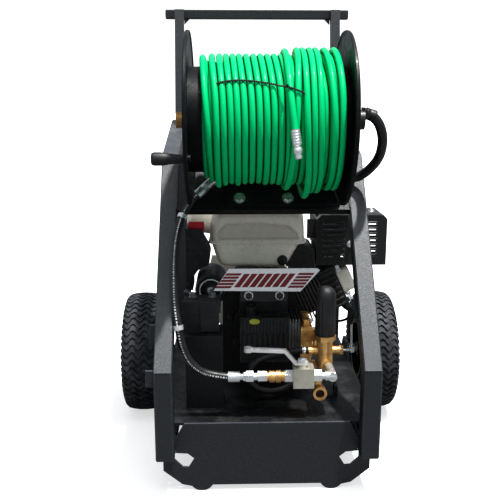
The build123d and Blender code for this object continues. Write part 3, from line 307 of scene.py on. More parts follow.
def rubber(name, color, light, rough=0.55, bloom=0.5):
    """Black rubber with dusty bloom."""
    f = Finish(name, color, rough)
    f.tint(f.patches(45, 6, 0.42, 0.75, bloom), light)
    f.smudges(160, rough + 0.2)
    return f.relief(f.noise(700, 3), 0.0003).done()


def green_hose(name):
    """Glossy green hose cover, faintly ribbed along its length, with small scuffs and painted shade in the
    gaps between the turns.
    """
    f = Finish(name, (0.0, 0.58, 0.2), 0.28, coat=0.07, specular=0.1)
    f.tint(f.patches(24, 4, 0.4, 0.75, 0.4), (0.0, 0.48, 0.155))
    f.tint(f.patches(260, 5, 0.66, 0.78, 0.5), (0.01, 0.36, 0.13))
    # painted shade: the narrow gaps between the turns darkened almost to black
    f.tint(f.times(f.hollows(0.006), 0.85), (0.0, 0.09, 0.03))
    f.smudges(140, 0.42)
    return f.relief(f.noise(420, 2), 0.0003).done()


def flat_print(name, color):
    """Printed or moulded-in colour, slightly mottled."""
    f = Finish(name, color, 0.4, coat=0.2)
    f.tint(f.patches(200, 4, 0.4, 0.75, 0.45), [0.6 * c for c in color])
    return f.relief(f.noise(500, 2), 0.0001).done()


FRAME_PAINT = powder_coat("frame_paint", (0.0068, 0.0088, 0.0122), (0.025, 0.031, 0.040))
BLACK_COAT = black_coat("black_coat")
REEL_PAINT = satin_paint("reel_paint", (0.004, 0.0045, 0.0055), (0.009, 0.010, 0.012), 0.42)
GREEN_HOSE = green_hose("green_hose")
STEEL = metal("steel", (0.8, 0.82, 0.84), 0.24, (0.5, 0.51, 0.53))
DARK_STEEL = metal("dark_steel", (0.3, 0.3, 0.31), 0.36, (0.12, 0.12, 0.12))
BRASS = casting("brass", (0.72, 0.46, 0.19), 0.3, (0.4, 0.22, 0.08))
OLD_BRASS = casting("old_brass", (0.42, 0.25, 0.1), 0.42, (0.16, 0.09, 0.04))
DARK_CASTING = casting("dark_casting", (0.16, 0.16, 0.165), 0.36, (0.05, 0.05, 0.052))
BRIGHT_STEEL = metal("bright_steel", (0.9, 0.91, 0.92), 0.3, (0.66, 0.67, 0.68))
ALUMINIUM = casting("aluminium", (0.62, 0.62, 0.62), 0.36, (0.34, 0.34, 0.34))
CHECKER = metal("checker", (0.88, 0.90, 0.93), 0.26, (0.61, 0.63, 0.66), 0.0001)
ENGINE_BLACK = cast_paint("engine_black", (0.009, 0.009, 0.010), (0.028, 0.028, 0.03))
# the fin paint's bright edge colour is a painted highlight on the fins' edges and the guard's louvre lips
FIN_PAINT = cast_paint("fin_paint", (0.011, 0.011, 0.012), (0.04, 0.04, 0.042), (0.5, 0.5, 0.49))
ENGINE_CREAM = cream_paint("engine_cream")
BLACK_RUBBER = rubber("black_rubber", (0.011, 0.011, 0.012), (0.035, 0.036, 0.038), 0.36, 0.4)
TYRE_RUBBER = rubber("tyre_rubber", (0.014, 0.016, 0.02), (0.075, 0.08, 0.09), 0.6, 0.8)
BLACK_PLASTIC = plastic("black_plastic", (0.012, 0.012, 0.013), (0.03, 0.03, 0.033))
RED_PLASTIC = plastic("red_plastic", (0.62, 0.012, 0.03), (0.72, 0.04, 0.06), 0.3)
VALVE_BLOCK = metal("valve_block", (0.6, 0.58, 0.5), 0.42, (0.4, 0.38, 0.32))
WHITE_PRINT = flat_print("white_print", (0.7, 0.72, 0.72))
RED_PRINT = flat_print("red_print", (0.17, 0.005, 0.014))
YELLOW_PRINT = flat_print("yellow_print", (0.5, 0.52, 0.06))

SLOT_FINISH = {
    "frame_paint": FRAME_PAINT, "reel_paint": REEL_PAINT, "green_hose": GREEN_HOSE, "steel": STEEL,
    "dark_steel": DARK_STEEL, "brass": BRASS, "aluminium": ALUMINIUM, "checker": CHECKER,
    "engine_black": ENGINE_BLACK, "engine_cream": ENGINE_CREAM, "black_rubber": BLACK_RUBBER,
    "tyre_rubber": TYRE_RUBBER, "black_plastic": BLACK_PLASTIC, "red_plastic": RED_PLASTIC,
    "valve_block": VALVE_BLOCK,
}
SLOT_OF = {finish: slot for slot, finish in SLOT_FINISH.items()}
SLOT_OF |= {FIN_PAINT: "engine_black", YELLOW_PRINT: "engine_black", WHITE_PRINT: "black_rubber",
            RED_PRINT: "checker"}
for part in frame["record"]["subparts"]:
    NODES[part["node"]].material_slots[0].material = SLOT_FINISH[part["material_slot"]]
for node in ("base_tray", "reel_platform", "reel_stand"):
    NODES[node].material_slots[0].material = BLACK_COAT
for node, finish in (("reel_swivel", BLACK_RUBBER), ("reel_axle", OLD_BRASS), ("pump_head", DARK_CASTING),
                     ("engine_cylinder", FIN_PAINT), ("ball_valve_lever", BRIGHT_STEEL),
                     ("idle_lever", STEEL), ("muffler", ALUMINIUM)):
    NODES[node].material_slots[0].material = finish


# ---------------------------------------------------------------- making pieces
def add_piece(name, data, material, body):
    """A new piece that rides on a body, in the record's slot that its material stands for."""
    piece = bpy.data.objects.new(name, data)
    bpy.context.scene.collection.objects.link(piece)
    data.materials.append(material)
    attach(piece, body)
    return piece


def mesh_piece(name, bm, material, body="chassis", bevel=0.0, sharp=35):
    """A piece from a bmesh, with smooth shading up to an angle and optionally rounded edges."""
    bmesh.ops.recalc_face_normals(bm, faces=bm.faces)
    data = bpy.data.meshes.new(name)
    bm.to_mesh(data)
    bm.free()
    data.shade_smooth()
    data.set_sharp_from_angle(angle=radians(sharp))
    piece = add_piece(name, data, material, body)
    if bevel:
        rounding = piece.modifiers.new("rounded", "BEVEL")
        rounding.width = bevel
        rounding.segments = 2
        rounding.limit_method = "ANGLE"
        rounding.angle_limit = radians(sharp)
        rounding.harden_normals = True
    return piece


def turned_to(origin, direction, side=None):
    """A matrix that puts local Z along a direction and local X as near as can be to a side."""
    z = Vector(direction).normalized()
    side = Vector(side) if side else (X if abs(z.x) < 0.9 else Y)
    x = (side - z * side.dot(z)).normalized()
    turned = Matrix((x, z.cross(x), z)).transposed().to_4x4()
    return Matrix.Translation(Vector(origin)) @ turned


def lathe(bm, place, profile, steps=32, capped=True):
    """Revolve (radius, height) points about a place's local Z axis. Ends off the axis may get caps."""
    rings = []
    for radius, height in profile:
        if radius < 1e-6:
            rings.append([bm.verts.new(place @ Vector((0, 0, height)))])
        else:
            rings.append([bm.verts.new(place @ Vector((radius * cos(a), radius * sin(a), height)))
                          for a in (2 * pi * i / steps for i in range(steps))])
    for low, high in zip(rings, rings[1:]):
        for i in range(max(len(low), len(high))):
            j = (i + 1) % steps
            if len(low) == 1:
                bm.faces.new((low[0], high[j], high[i]))
            elif len(high) == 1:
                bm.faces.new((low[i], low[j], high[0]))
            else:
                bm.faces.new((low[i], low[j], high[j], high[i]))
    for end in (rings[0], rings[-1]):
        if capped and len(end) > 1:
            bm.faces.new(end)


def slab(bm, place, outline, low, high):
    """A straight-sided outline on a place's local XY plane, from one local height to another."""
    rings = [[bm.verts.new(place @ Vector((x, y, h))) for x, y in outline] for h in (low, high)]
    bm.faces.new(rings[0])
    bm.faces.new(rings[1])
    for i in range(len(outline)):
        j = (i + 1) % len(outline)
        bm.faces.new((rings[0][i], rings[0][j], rings[1][j], rings[1][i]))


def regular(count, radius, turn=0.0):
    """Corners of a regular polygon about the origin."""
    return [(radius * cos(2 * pi * i / count + turn),
             radius * sin(2 * pi * i / count + turn)) for i in range(count)]


def loft(bm, rings):
    """A skin over rings of the same number of points, closed at both ends."""
    made = [[bm.verts.new(p) for p in ring] for ring in rings]
    for low, high in zip(made, made[1:]):
        for i in range(len(low)):
            j = (i + 1) % len(low)
            bm.faces.new((low[i], low[j], high[j], high[i]))
    bm.faces.new(made[0])
    bm.faces.new(made[-1])


def rounded_ring(x, y, z, radius, steps=8):
    """A rounded rectangle at a height, from its limits along X and Y."""
    corners = ((x[1], y[1], 0), (x[0], y[1], 1), (x[0], y[0], 2), (x[1], y[0], 3))
    ring = []
    for cx, cy, quarter in corners:
        inward = (-1 if quarter in (0, 3) else 1, -1 if quarter in (0, 1) else 1)
        for i in range(steps + 1):
            a = (quarter + i / steps) * pi / 2
            ring.append(Vector((cx + inward[0] * radius + radius * cos(a),
                                cy + inward[1] * radius + radius * sin(a), z)))
    return ring


def screw(bm, origin, direction, across, head, washer=0.0, recess=True):
    """A hexagon head with a chamfered top, on a washer, along a direction from a point."""
    place = turned_to(origin, direction)
    base = 0.0
    if washer:
        lathe(bm, place, [(washer, 0), (washer, 0.0012), (washer - 0.0005, 0.0018), (0, 0.0018)], 24)
        base = 0.0018
    r = across / 2 / cos(pi / 6)
    slab(bm, place, regular(6, r, 0.3), base, base + 0.8 * head)
    lathe(bm, place, [(0.92 * r, base + 0.8 * head), (0.78 * r, base + head)]
          + ([(0.5 * r, base + head), (0.45 * r, base + 0.9 * head), (0, base + 0.9 * head)] if recess
             else [(0, base + head)]), 12)


def screw_circle(bm, centre, direction, first, radius, count, turn, *sizes):
    """Screws in a circle round a centre; their angle runs from a first direction towards Z."""
    for i in range(count):
        a = 2 * pi * i / count + turn
        screw(bm, Vector(centre) + (first * cos(a) + Z * sin(a)) * radius, direction, *sizes)


def hose_curve(name, points, radius, material, body, resolution=12, sides=6):
    """A hose: one smooth NURBS line through the neighbourhood of its route's points, with a round section."""
    data = bpy.data.curves.new(name, "CURVE")
    data.dimensions = "3D"
    data.bevel_depth = radius
    data.bevel_resolution = sides
    data.resolution_u = resolution
    data.use_fill_caps = True
    spline = data.splines.new("NURBS")
    spline.points.add(len(points) - 1)
    for control, p in zip(spline.points, points):
        control.co = (*p, 1)
    spline.order_u = 3
    spline.use_endpoint_u = True
    return add_piece(name, data, material, body)


def line_of(curve):
    """The points along a curve's own line."""
    bare = bpy.data.objects.new("bare", curve.data.copy())
    bare.data.bevel_depth = 0
    data = bpy.data.meshes.new_from_object(bare)
    line = [v.co.copy() for v in data.vertices]
    bpy.data.meshes.remove(data)
    bpy.data.curves.remove(bare.data)
    return line


def length_of(line):
    return sum((b - a).length for a, b in zip(line, line[1:]))


# ---------------------------------------------------------------- green hose on the reel
LAYER_R = (117.75, 130.45, 143.05)               # centre radii of the three layers
TURN_POINTS = 16
POLYGON = 1 / cos(pi / TURN_POINTS)              # a NURBS circle runs inside its control polygon
TAIL_END = on_reel(47, -5, 156.75)
draw = random.Random(7)
# parts of a turn, from the top down the front: 65, 18, -8, -45 and -90 degrees, then the top again
FRONT_PARTS = (0, 0.07, 0.20, 0.27, 0.375, 0.5, 1)
SECOND_LEAN = (0.06, 0.68, 0.71, 0.80, 0.84)     # how far an ordinary turn has moved on at each of them
SUNK = 2                                         # the second layer's first turn lies this much deeper


def reading(places, values, where):
    """Straight-line reading of a table."""
    for a, b, low, high in zip(places, places[1:], values, values[1:]):
        if where <= b:
            return low + (high - low) * (where - a) / (b - a)
    return values[-1]


def one_turn(start, shifts, end, radius, climb=0.0, hang=0.0):
    """Control points of a turn that goes down the front and up behind, where it may climb a layer."""
    across = [start] + [start + shift for shift in shifts] + [end]
    points = []
    for i in range(TURN_POINTS):
        part = i / TURN_POINTS
        out = radius + climb * max(0.0, 2 * part - 1) + hang * max(0.0, -cos(2 * pi * part)) ** 2
        points.append(on_reel(reading(FRONT_PARTS, across, part), 90 - 360 * part, out * POLYGON))
    return points


def wound_hose():
    """Two full layers, a third over the right-hand side, and the free end over the top and down the front."""
    route = []
    # first layer, from the right disc to the left one, then up on to the second
    tops = [144.5 - 14.35 * i for i in range(20)]
    for start, end in zip(tops, tops[1:]):
        route += one_turn(start, [0.1 * (end - start)] * 5, end, LAYER_R[0])
    second = [-134.8, -115.5, -99.9, -86.3, -72.7, -58.9, -44.8, -29.6]
    second += [-15.2 + 14.4 * i for i in range(11)] + [141]
    route += one_turn(tops[-1], [0.8] * 5, second[0], LAYER_R[0], LAYER_R[1] - LAYER_R[0] - SUNK)
    # second layer, whose first turns lean most
    hangs = [-3, 8, 3.5, 0, 3.5, 0, -1, -1]
    for i, (start, end) in enumerate(zip(second, second[1:])):
        shifts = [(end - start) * share + draw.uniform(-0.6, 0.6) for share in SECOND_LEAN]
        if i == 0:
            shifts = [1.5, 8.5, 13.2, 18, 19]
        sunk = SUNK if i == 0 else 0
        hang = hangs[i] if i < len(hangs) else draw.uniform(0, 3)
        route += one_turn(start, shifts, end, LAYER_R[1] - sunk, sunk, hang)
    # third layer, wound back over the right-hand side; its turns are uneven and slack underneath
    third = [(137.8, (0.6, 4.2, 4.2, 5.8, 5.8), 2),
             (117, (1.3, 7.5, 10.8, 12.8, 12.1), 2),
             (99, (0, 0, 0.8, 6.8, 8), 8),
             (86, (0, -0.3, 1, 6.5, 8), 8),
             (71.8, (0, -0.6, 1.6, 9, 10), 20),
             (60, (-0.5, -6.6, -9, -14.5, -20), 1),
             (35, (0,) * 5, 0)]
    route += one_turn(second[-1], [0] * 5, third[0][0], LAYER_R[1], LAYER_R[2] - LAYER_R[1])
    for (start, shifts, hang), (end, _, _) in zip(third, third[1:]):
        route += one_turn(start, shifts, end, LAYER_R[2], 0, hang)
    # the free end rests on the second layer over the top, then stands off it towards the fitting
    return route + [on_reel(35, 88, 142), on_reel(35.8, 72, 143.5), on_reel(36.4, 56, 145),
                    on_reel(37.4, 39, 146.6), on_reel(39.2, 23, 149.8), on_reel(42.6, 7.5, 153.7), TAIL_END]


def build_green_hose():
    hose = hose_curve("green_hose", wound_hose(), HOSE_R * MM, GREEN_HOSE, "reel", 3, 5)
    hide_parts("hose_winding", "hose_tail")
    length_of(line_of(hose))
    build_tie()
    build_crimp()


def build_tie():
    """Twisted black wire that ties the free end to the winding."""
    over = LAYER_R[1] + HOSE_R + 1.8
    route = [on_reel(-106, 32.5, over - 6), on_reel(-101, 33.3, over - 1), on_reel(-68, 35, over + 0.6),
             on_reel(-39, 34.5, over + 0.6), on_reel(0, 32, over + 0.6), on_reel(18, 29, over + 4),
             on_reel(27, 26, over + 16.5), on_reel(44, 24, over + 18.5), on_reel(52, 23.2, over + 14.5),
             on_reel(63, 22, over + 13), on_reel(66, 21, over + 10)]
    core = hose_curve("tie_guide", route, 0.001, BLACK_PLASTIC, "reel", 20)
    line = line_of(core)
    bpy.data.objects.remove(core)
    bm = bmesh.new()
    turns_per_m, strand, strands = 120, 0.00125, 2
    travelled = 0.0
    rings = [[], []]
    for i, here in enumerate(line):
        along = (line[min(i + 1, len(line) - 1)] - line[max(i - 1, 0)]).normalized()
        travelled += (here - line[i - 1]).length if i else 0
        frame_at = turned_to(here, along, (0, -0.8, 0.6))
        for s in range(strands):
            a = 2 * pi * (travelled * turns_per_m + s / strands)
            centre = Vector((0.8 * strand * cos(a), 0.8 * strand * sin(a), 0))
            rings[s].append([frame_at @ (centre + Vector((strand * cos(b), strand * sin(b), 0)))
                             for b in (2 * pi * k / 8 for k in range(8))])
    for ring in rings:
        loft(bm, ring)
    # the twisted-off knot on the free end
    knot = turned_to(on_reel(32, 25.5, over + 17.5), on_reel(32, 25.5, 1000) - on_reel(32, 25.5, 0))
    lathe(bm, knot, mm((2.2, -1), (3.2, 1.5), (2.2, 4), (2.6, 6), (1.2, 8.5), (0, 9)), 10)
    return mesh_piece("hose_tie", bm, BLACK_PLASTIC, "reel", sharp=60)


def build_crimp():
    """Pressed rings round the ferrule of the hose's end fitting."""
    place = turned_to(TAIL_END, TAIL_END - on_reel(42.5, 8, 153.75))
    bm = bmesh.new()
    for z in (0.003, 0.0085, 0.014, 0.0195, 0.025):
        lathe(bm, place @ Matrix.Translation((0, 0, z)),
              mm((8.8, 0), (9.7, 0.6), (10.1, 1.6), (9.7, 2.6), (8.8, 3.2)), 32)
    lathe(bm, place @ Matrix.Translation((0, 0, 0.0355)), mm((8.5, 0), (9.4, 0.8), (9.4, 9), (8.5, 9.8)),
          32)
    return mesh_piece("hose_end_crimp", bm, STEEL, "reel", sharp=50)


# ---------------------------------------------------------------- black hoses
FITTING_BACK, FITTING_Z = 68, 261                # line of the outlet's fittings
UNLOADER_BACK = 146
FEED = [at(-86, FITTING_BACK, FITTING_Z), at(-118, FITTING_BACK, FITTING_Z + 4),
        at(-148, FITTING_BACK - 2, 276), at(-172, FITTING_BACK - 6, 301), at(-186, FITTING_BACK - 10, 338),
        at(-192.5, 58, 380), on_slope(-200, 150, 16), on_slope(-203, 206, 18), on_slope(-204, 262, 17),
        on_slope(-201, 316, 14), on_slope(-191, 364, 13), on_slope(-176, 396, 13), on_slope(-157, 420, 14)]
WHIP = [on_slope(-122, 458, 15), on_slope(-96, 468, 17), on_slope(-48, 469, 17), on_slope(8, 467, 16.6),
        on_slope(66, 467.5, 17), on_slope(124, 466, 17), on_slope(176, 467, 17), on_slope(222, 460, 20),
        at(249, 232, 706), at(260, 190, 737), at(259, 160, 774), at(248, 140, 806),
        Vector((0.230, REEL_Y + 0.001, 0.828)), Vector((0.212, REEL_Y, 0.834))]
BYPASS = [at(101, UNLOADER_BACK, 292), at(84, UNLOADER_BACK, 292), at(66, UNLOADER_BACK + 4, 289),
          at(44, UNLOADER_BACK + 10, 281), at(14, UNLOADER_BACK + 15, 274), at(-16, UNLOADER_BACK + 14, 264),
          at(-36, UNLOADER_BACK + 10, 244), at(-38, UNLOADER_BACK + 6, 218), at(-20, UNLOADER_BACK + 4, 198),
          at(8, UNLOADER_BACK + 6, 189), at(38, UNLOADER_BACK + 12, 190), at(62, UNLOADER_BACK + 24, 198),
          at(82, 216, 210), at(93, 220, 214)]


def print_marks(name, hose, radius, side, long=(0.0012, 0.0042), gap=(0.0008, 0.0026), wide=0.0042):
    """Broken dashes of white print along a hose, on the side that a direction points to."""
    line = line_of(hose)
    bm = bmesh.new()
    travelled, until, marking = 0.0, 0.0, False
    dash = []

    def close_dash():
        if len(dash) > 1:
            rows = [[bm.verts.new(p) for p in row] for row in dash]
            for a, b in zip(rows, rows[1:]):
                for k in range(len(a) - 1):
                    bm.faces.new((a[k], a[k + 1], b[k + 1], b[k]))
        dash.clear()

    for here, after in zip(line, line[1:]):
        steps = max(1, round((after - here).length / 0.0006))
        for k in range(steps):
            point = here.lerp(after, k / steps)
            travelled += (after - here).length / steps
            if travelled > until:
                close_dash()
                marking = not marking
                until = travelled + draw.uniform(*(long if marking else gap))
            if marking:
                place = turned_to(point, after - here, side)
                half = wide / 2 * (0.55 + 0.45 * sin(2100 * travelled) ** 2)
                dash.append([place @ Vector(((radius + 0.00015) * cos(a), (radius + 0.00015) * sin(a), 0))
                             for a in (t * half / radius for t in (-1, -0.33, 0.33, 1))])
    close_dash()
    return mesh_piece(name, bm, WHITE_PRINT)


def clamp(bm, point, along, radius, wide=0.008):
    """A worm-drive clamp: a band with a raised screw housing."""
    place = turned_to(point, along, (0, -1, 0.2))
    lathe(bm, place, [(radius - 0.0006, -wide / 2), (radius + 0.0008, -wide / 2), (radius + 0.0008, wide / 2),
                      (radius - 0.0006, wide / 2)], 32)
    housing = place @ Matrix.Translation((radius + 0.002, 0, 0)) @ Matrix.Rotation(pi / 2, 4, "X")
    lathe(bm, housing, mm((2.4, -5), (3, -4), (3, 4), (2.4, 5)), 12)


def build_black_hoses():
    feed = hose_curve("feed_hose_rubber", FEED, 0.009, BLACK_RUBBER, "chassis", 16, 7)
    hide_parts("feed_hose")
    marks = print_marks("feed_hose_print", feed, 0.009, (-0.15, -1, 0.1))
    length_of(line_of(feed))
    whip = hose_curve("whip_hose_rubber", WHIP, 0.0110, BLACK_RUBBER, "chassis", 16, 7)
    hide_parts("whip_hose")
    sleeves = []
    for end, finish in ((0, STEEL), (-1, BLACK_RUBBER)):
        start, after = WHIP[end], WHIP[1 if end == 0 else -2]
        bm = bmesh.new()
        lathe(bm, turned_to(start, after - start),
              mm((11.2, -2), (12.8, 0), (12.8, 6), (12.2, 7), (12.2, 9), (12.8, 10), (12.8, 22),
                 (11.2, 23.5)), 32)
        sleeves.append(mesh_piece(f"whip_hose_sleeve_{len(sleeves)}", bm, finish, "chassis", 0.0006))
    length_of(line_of(whip))
    bypass = hose_curve("bypass_hose_rubber", BYPASS, 0.008, BLACK_RUBBER, "chassis", 16, 6)
    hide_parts("bypass_hose")
    bm = bmesh.new()
    clamp(bm, BYPASS[1] + Vector((0.006, 0, 0)), BYPASS[1] - BYPASS[0], 0.0085)
    clamp(bm, BYPASS[-2], BYPASS[-1] - BYPASS[-2], 0.0085)
    clamps = mesh_piece("bypass_hose_clamps", bm, STEEL, sharp=50)
    length_of(line_of(bypass))


# ---------------------------------------------------------------- tyres
def build_tyre(side, node, body):
    """A turf tyre: a carcass with moulded sidewall rings and rows of wavy interlocking tread blocks."""
    low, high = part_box(node)
    outer = (high.z - low.z) / 2
    place = turned_to((low + high) / 2, (side, 0, 0), Z)
    bm = bmesh.new()
    depth = 0.0055
    # from the rim to the middle of the tread: along the axle and out from it
    crown = mm((-38, 77), (-40.5, 89), (-44.5, 97), (-45.2, 98.5), (-47.2, 103.5), (-47.5, 108),
               (-48.8, 110.5), (-49.2, 120), (-49.2, 126), (-48.6, 133), (-47.8, 134.5), (-47.4, 140.5),
               (-45, 148), (-40.5, 153.5), (-33, 157.2), (-20, 159.2)) + [(0, outer - depth)]
    profile = [(r, h) for h, r in crown] + [(r, -h) for h, r in reversed(crown[:-1])]
    inside = mm((77, 30), (93, 32), (125, 36), (150, 26), (150, -26), (125, -36), (93, -32), (77, -30))
    around = [2 * pi * i / 96 for i in range(96)]
    rings = [[bm.verts.new(place @ Vector((r * cos(a), r * sin(a), h))) for a in around]
             for r, h in profile + inside]
    for low, high in zip(rings, rings[1:] + rings[:1]):
        for i in range(96):
            j = (i + 1) % 96
            bm.faces.new((low[i], low[j], high[j], high[i]))

    def tread_radius(v):
        """Outer radius of the tread at a distance from the tyre's middle."""
        return outer - 0.0006 - 0.0055 * (abs(v) / 0.040) ** 2.2

    def block(turn, v, half_wide, wave, thick):
        """One wavy block: a bent bar across the tread, its ends offset round the tyre."""
        top, foot = [], []
        steps = 4
        for k in range(steps + 1):
            t = k / steps
            across = v + half_wide * (2 * t - 1)
            shift = wave * sin(pi * (2 * t - 0.5)) / outer
            for edge in (-1, 1):
                a = turn + shift + edge * thick * (1 - 0.25 * abs(2 * t - 1)) / 2 / outer
                r = tread_radius(across)
                top.append(bm.verts.new(place @ Vector((r * cos(a), r * sin(a), across))))
                a_foot = a + edge * 0.0011 / outer
                r -= depth + 0.002
                foot.append(bm.verts.new(place @ Vector((r * cos(a_foot), r * sin(a_foot), across * 1.01))))
        for k in range(steps):
            i = 2 * k
            bm.faces.new((top[i], top[i + 1], top[i + 3], top[i + 2]))
            bm.faces.new((foot[i], foot[i + 2], foot[i + 3], foot[i + 1]))
            bm.faces.new((top[i], top[i + 2], foot[i + 2], foot[i]))
            bm.faces.new((top[i + 1], foot[i + 1], foot[i + 3], top[i + 3]))
        bm.faces.new((top[0], foot[0], foot[1], top[1]))
        bm.faces.new((top[-2], top[-1], foot[-1], foot[-2]))

    count = 54
    for i in range(count):
        turn = 2 * pi * i / count
        for row, v in enumerate((-0.0315, -0.0158, 0, 0.0158, 0.0315)):
            offset = (row % 2) * pi / count
            block(turn + offset, v, 0.0077, 0.0032 * (1 if row % 2 else -1), 0.0118)
        # shoulder blocks that run down over the edge of the tread
        for edge in (-1, 1):
            a0 = turn + pi / count
            rows = []
            for v, r in ((0.0395, tread_radius(0.039)), (0.0462, 0.1525), (0.0488, 0.1440)):
                rows.append([bm.verts.new(place @ Vector((r * cos(a0 + d), r * sin(a0 + d), edge * v)))
                             for d in (-0.0052 / outer, 0.0052 / outer)])
                deep = r - 0.008
                rows[-1] += [bm.verts.new(place @ Vector((deep * cos(a0 + d), deep * sin(a0 + d),
                                                          edge * (v - 0.003))))
                             for d in (0.0058 / outer, -0.0058 / outer)]
            for a, b in zip(rows, rows[1:]):
                for k in range(4):
                    n = (k + 1) % 4
                    bm.faces.new((a[k], a[n], b[n], b[k]))
            bm.faces.new(rows[0])
            bm.faces.new(rows[-1])
    tyre = mesh_piece(f"{body}_tread", bm, TYRE_RUBBER, body, sharp=38)
    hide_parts(node)


def build_wheel_details(side, body):
    """Valve and hub rivets of a wheel."""
    low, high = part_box(f"rim_{'right' if side > 0 else 'left'}")
    centre = (low + high) / 2
    bm = bmesh.new()
    valve = centre + Vector((side * 0.010, -0.060, 0.012))
    place = turned_to(valve, (side, -0.25, 0.05))
    lathe(bm, place, mm((5.8, 0), (5, 6), (3.6, 12), (3.6, 26), (4.4, 26.5), (4.4, 36), (3.6, 37.5),
                        (0, 37.5)), 20)
    mesh_piece(f"{body}_valve", bm, BLACK_RUBBER, body)
    bm = bmesh.new()
    hub = turned_to(centre + Vector((side * 0.008, 0, 0)), (side, 0, 0))
    for i in range(4):
        a = 2 * pi * i / 4 + 0.5
        lathe(bm, hub @ Matrix.Translation((0.043 * cos(a), 0.043 * sin(a), 0)),
              mm((8.5, 0), (8.5, 1.5), (5.5, 2), (5, 5), (3.5, 6), (0, 6)), 6)
    mesh_piece(f"{body}_rivets", bm, STEEL, body)


# ---------------------------------------------------------------- fuel tank
PANEL_DEPTH = 0.0075                             # of the panel pressed into the tank's front


def build_tank():
    """Pressed-steel tank: two shells with a seam flange, an embossed front panel and a filler neck."""
    low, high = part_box("fuel_tank")
    y0, y1, z_low, z_seam = low.y, high.y, low.z, 0.514
    # left, right, height, inset from front and back, corner radius
    upper = mm((-126.5, 106, 515.5, 4, 26), (-126.5, 106, 523, 3.5, 27), (-126.2, 105.6, 540, 3.5, 28),
               (-125.5, 104.8, 560, 4, 29), (-124, 103.4, 577, 5, 31), (-121, 100, 590, 8, 33),
               (-115.5, 95, 598.5, 13, 34), (-106, 87, 603.5, 21, 34), (-90, 72, 605.5, 34, 30),
               (-50, 30, 606, 70, 15))
    lower = mm((-70, 25, 0, 50, 15), (-96, 50, 1, 24, 20), (-104, 59, 4, 14, 22), (-108.5, 65, 9, 9, 24),
               (-112, 70, 16, 7, 25), (-117, 78, 30, 6, 26), (-121.5, 86, 44, 5, 26),
               (-124.5, 91, 54, 4.5, 26))
    lower = [(left, right, z_low + rise, inset, corner) for left, right, rise, inset, corner in lower]
    lower.append((-0.1265, 0.095, z_seam - 0.0015, 0.004, 0.026))

    def emboss(p):
        """Depth of the arched panel pressed into the upper shell's front."""
        across = min(p.x + 0.115, 0.093 - p.x)
        arch = reading((-0.115, -0.107, -0.09, -0.01, 0.062, 0.083, 0.093),
                       (0.524, 0.548, 0.564, 0.566, 0.56, 0.544, 0.524), min(0.093, max(-0.115, p.x)))
        edge = min(across, p.z - 0.5215, arch - p.z)
        return PANEL_DEPTH * min(1.0, max(0.0, edge / 0.0045)) ** 0.8

    def dense(levels, steps):
        """The levels again with smooth ones between them."""
        made = []
        for a, b in zip(levels, levels[1:]):
            for k in range(steps):
                t = k / steps
                made.append([u + (v - u) * t for u, v in zip(a, b)])
        return made + [list(levels[-1])]

    def dense_ring(left, right, z, inset, radius):
        """A rounded ring with many points along its straight front."""
        ring = rounded_ring((left, right), (y0 + inset, y1 - inset), z, radius, 8)
        made = []
        for a, b in zip(ring, ring[1:] + ring[:1]):
            steps = max(1, round((b - a).length / 0.0035)) if (b - a).length > 0.012 else 1
            made += [a.lerp(b, k / steps) for k in range(steps)]
        return made

    bm = bmesh.new()
    pressed_in = []
    for levels, pressed in ((upper, True), (lower, False)):
        fullest = max(levels, key=lambda level: level[1] - level[0])
        count = len(dense_ring(*fullest))
        rings = []
        for level in dense(levels, 4 if pressed else 2):
            ring = dense_ring(*level)
            if len(ring) != count:                # the same number of points on every ring
                total = [0.0]
                for a, b in zip(ring, ring[1:] + ring[:1]):
                    total.append(total[-1] + (b - a).length)
                fixed, k = [], 0
                for i in range(count):
                    want = total[-1] * i / count
                    while total[k + 1] < want:
                        k += 1
                    t = (want - total[k]) / (total[k + 1] - total[k])
                    fixed.append(ring[k].lerp(ring[(k + 1) % len(ring)], t))
                ring = fixed
            if pressed:
                depths = [emboss(p) if p.y < y0 + 0.02 else 0.0 for p in ring]
                pressed_in += depths
                ring = [p + Y * depth for p, depth in zip(ring, depths)]
            rings.append(ring)
        loft(bm, rings)
    # seam flange with a rolled edge
    flange = [rounded_ring((-0.1338 + i, 0.1118 - i), (y0 + i, y1 - i), z_seam + h, 0.03 - i)
              for i, h in ((0.0012, -0.0026), (0, -0.0014), (0, 0.0014), (0.0012, 0.0026))]
    loft(bm, flange)
    # wide part of the tank behind the control box: x, z and the way each point goes in at rounded ends
    outline = ((-0.12, 0.518, 0, 1), (-0.146, 0.5225, 0, 1), (-0.176, 0.527, 0, 1), (-0.186, 0.531, 1, 1),
               (-0.191, 0.54, 1, 0), (-0.1915, 0.565, 1, 0), (-0.191, 0.588, 1, 0), (-0.188, 0.595, 1, -1),
               (-0.182, 0.5995, 0, -1), (-0.15, 0.6, 0, -1), (-0.12, 0.6, 0, -1))
    sections = mm((12, 90.5), (4, 93), (0, 100), (0, 176), (4, 183), (12, 185.5))
    loft(bm, [[Vector((x + inset * dx, y0 + y, z + inset * dz)) for x, z, dx, dz in outline]
              for inset, y in sections])
    neck_low, neck_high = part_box("fuel_cap")
    neck = turned_to(((neck_low.x + neck_high.x) / 2, (neck_low.y + neck_high.y) / 2, 0), Z)
    lathe(bm, neck, mm((29, 605), (27.5, 606.2), (24, 606.6), (24, 614), (21, 614.4), (18, 614), (18, 600)),
          48)
    tank = mesh_piece("fuel_tank_shell", bm, ENGINE_CREAM, sharp=42)
    # the depth of the pressed panel at each point, which the cream paint turns into painted shade
    recess = tank.data.attributes.new("recess", "FLOAT", "POINT")
    for i, depth in enumerate(pressed_in):
        recess.data[i].value = depth / PANEL_DEPTH
    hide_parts("fuel_tank")
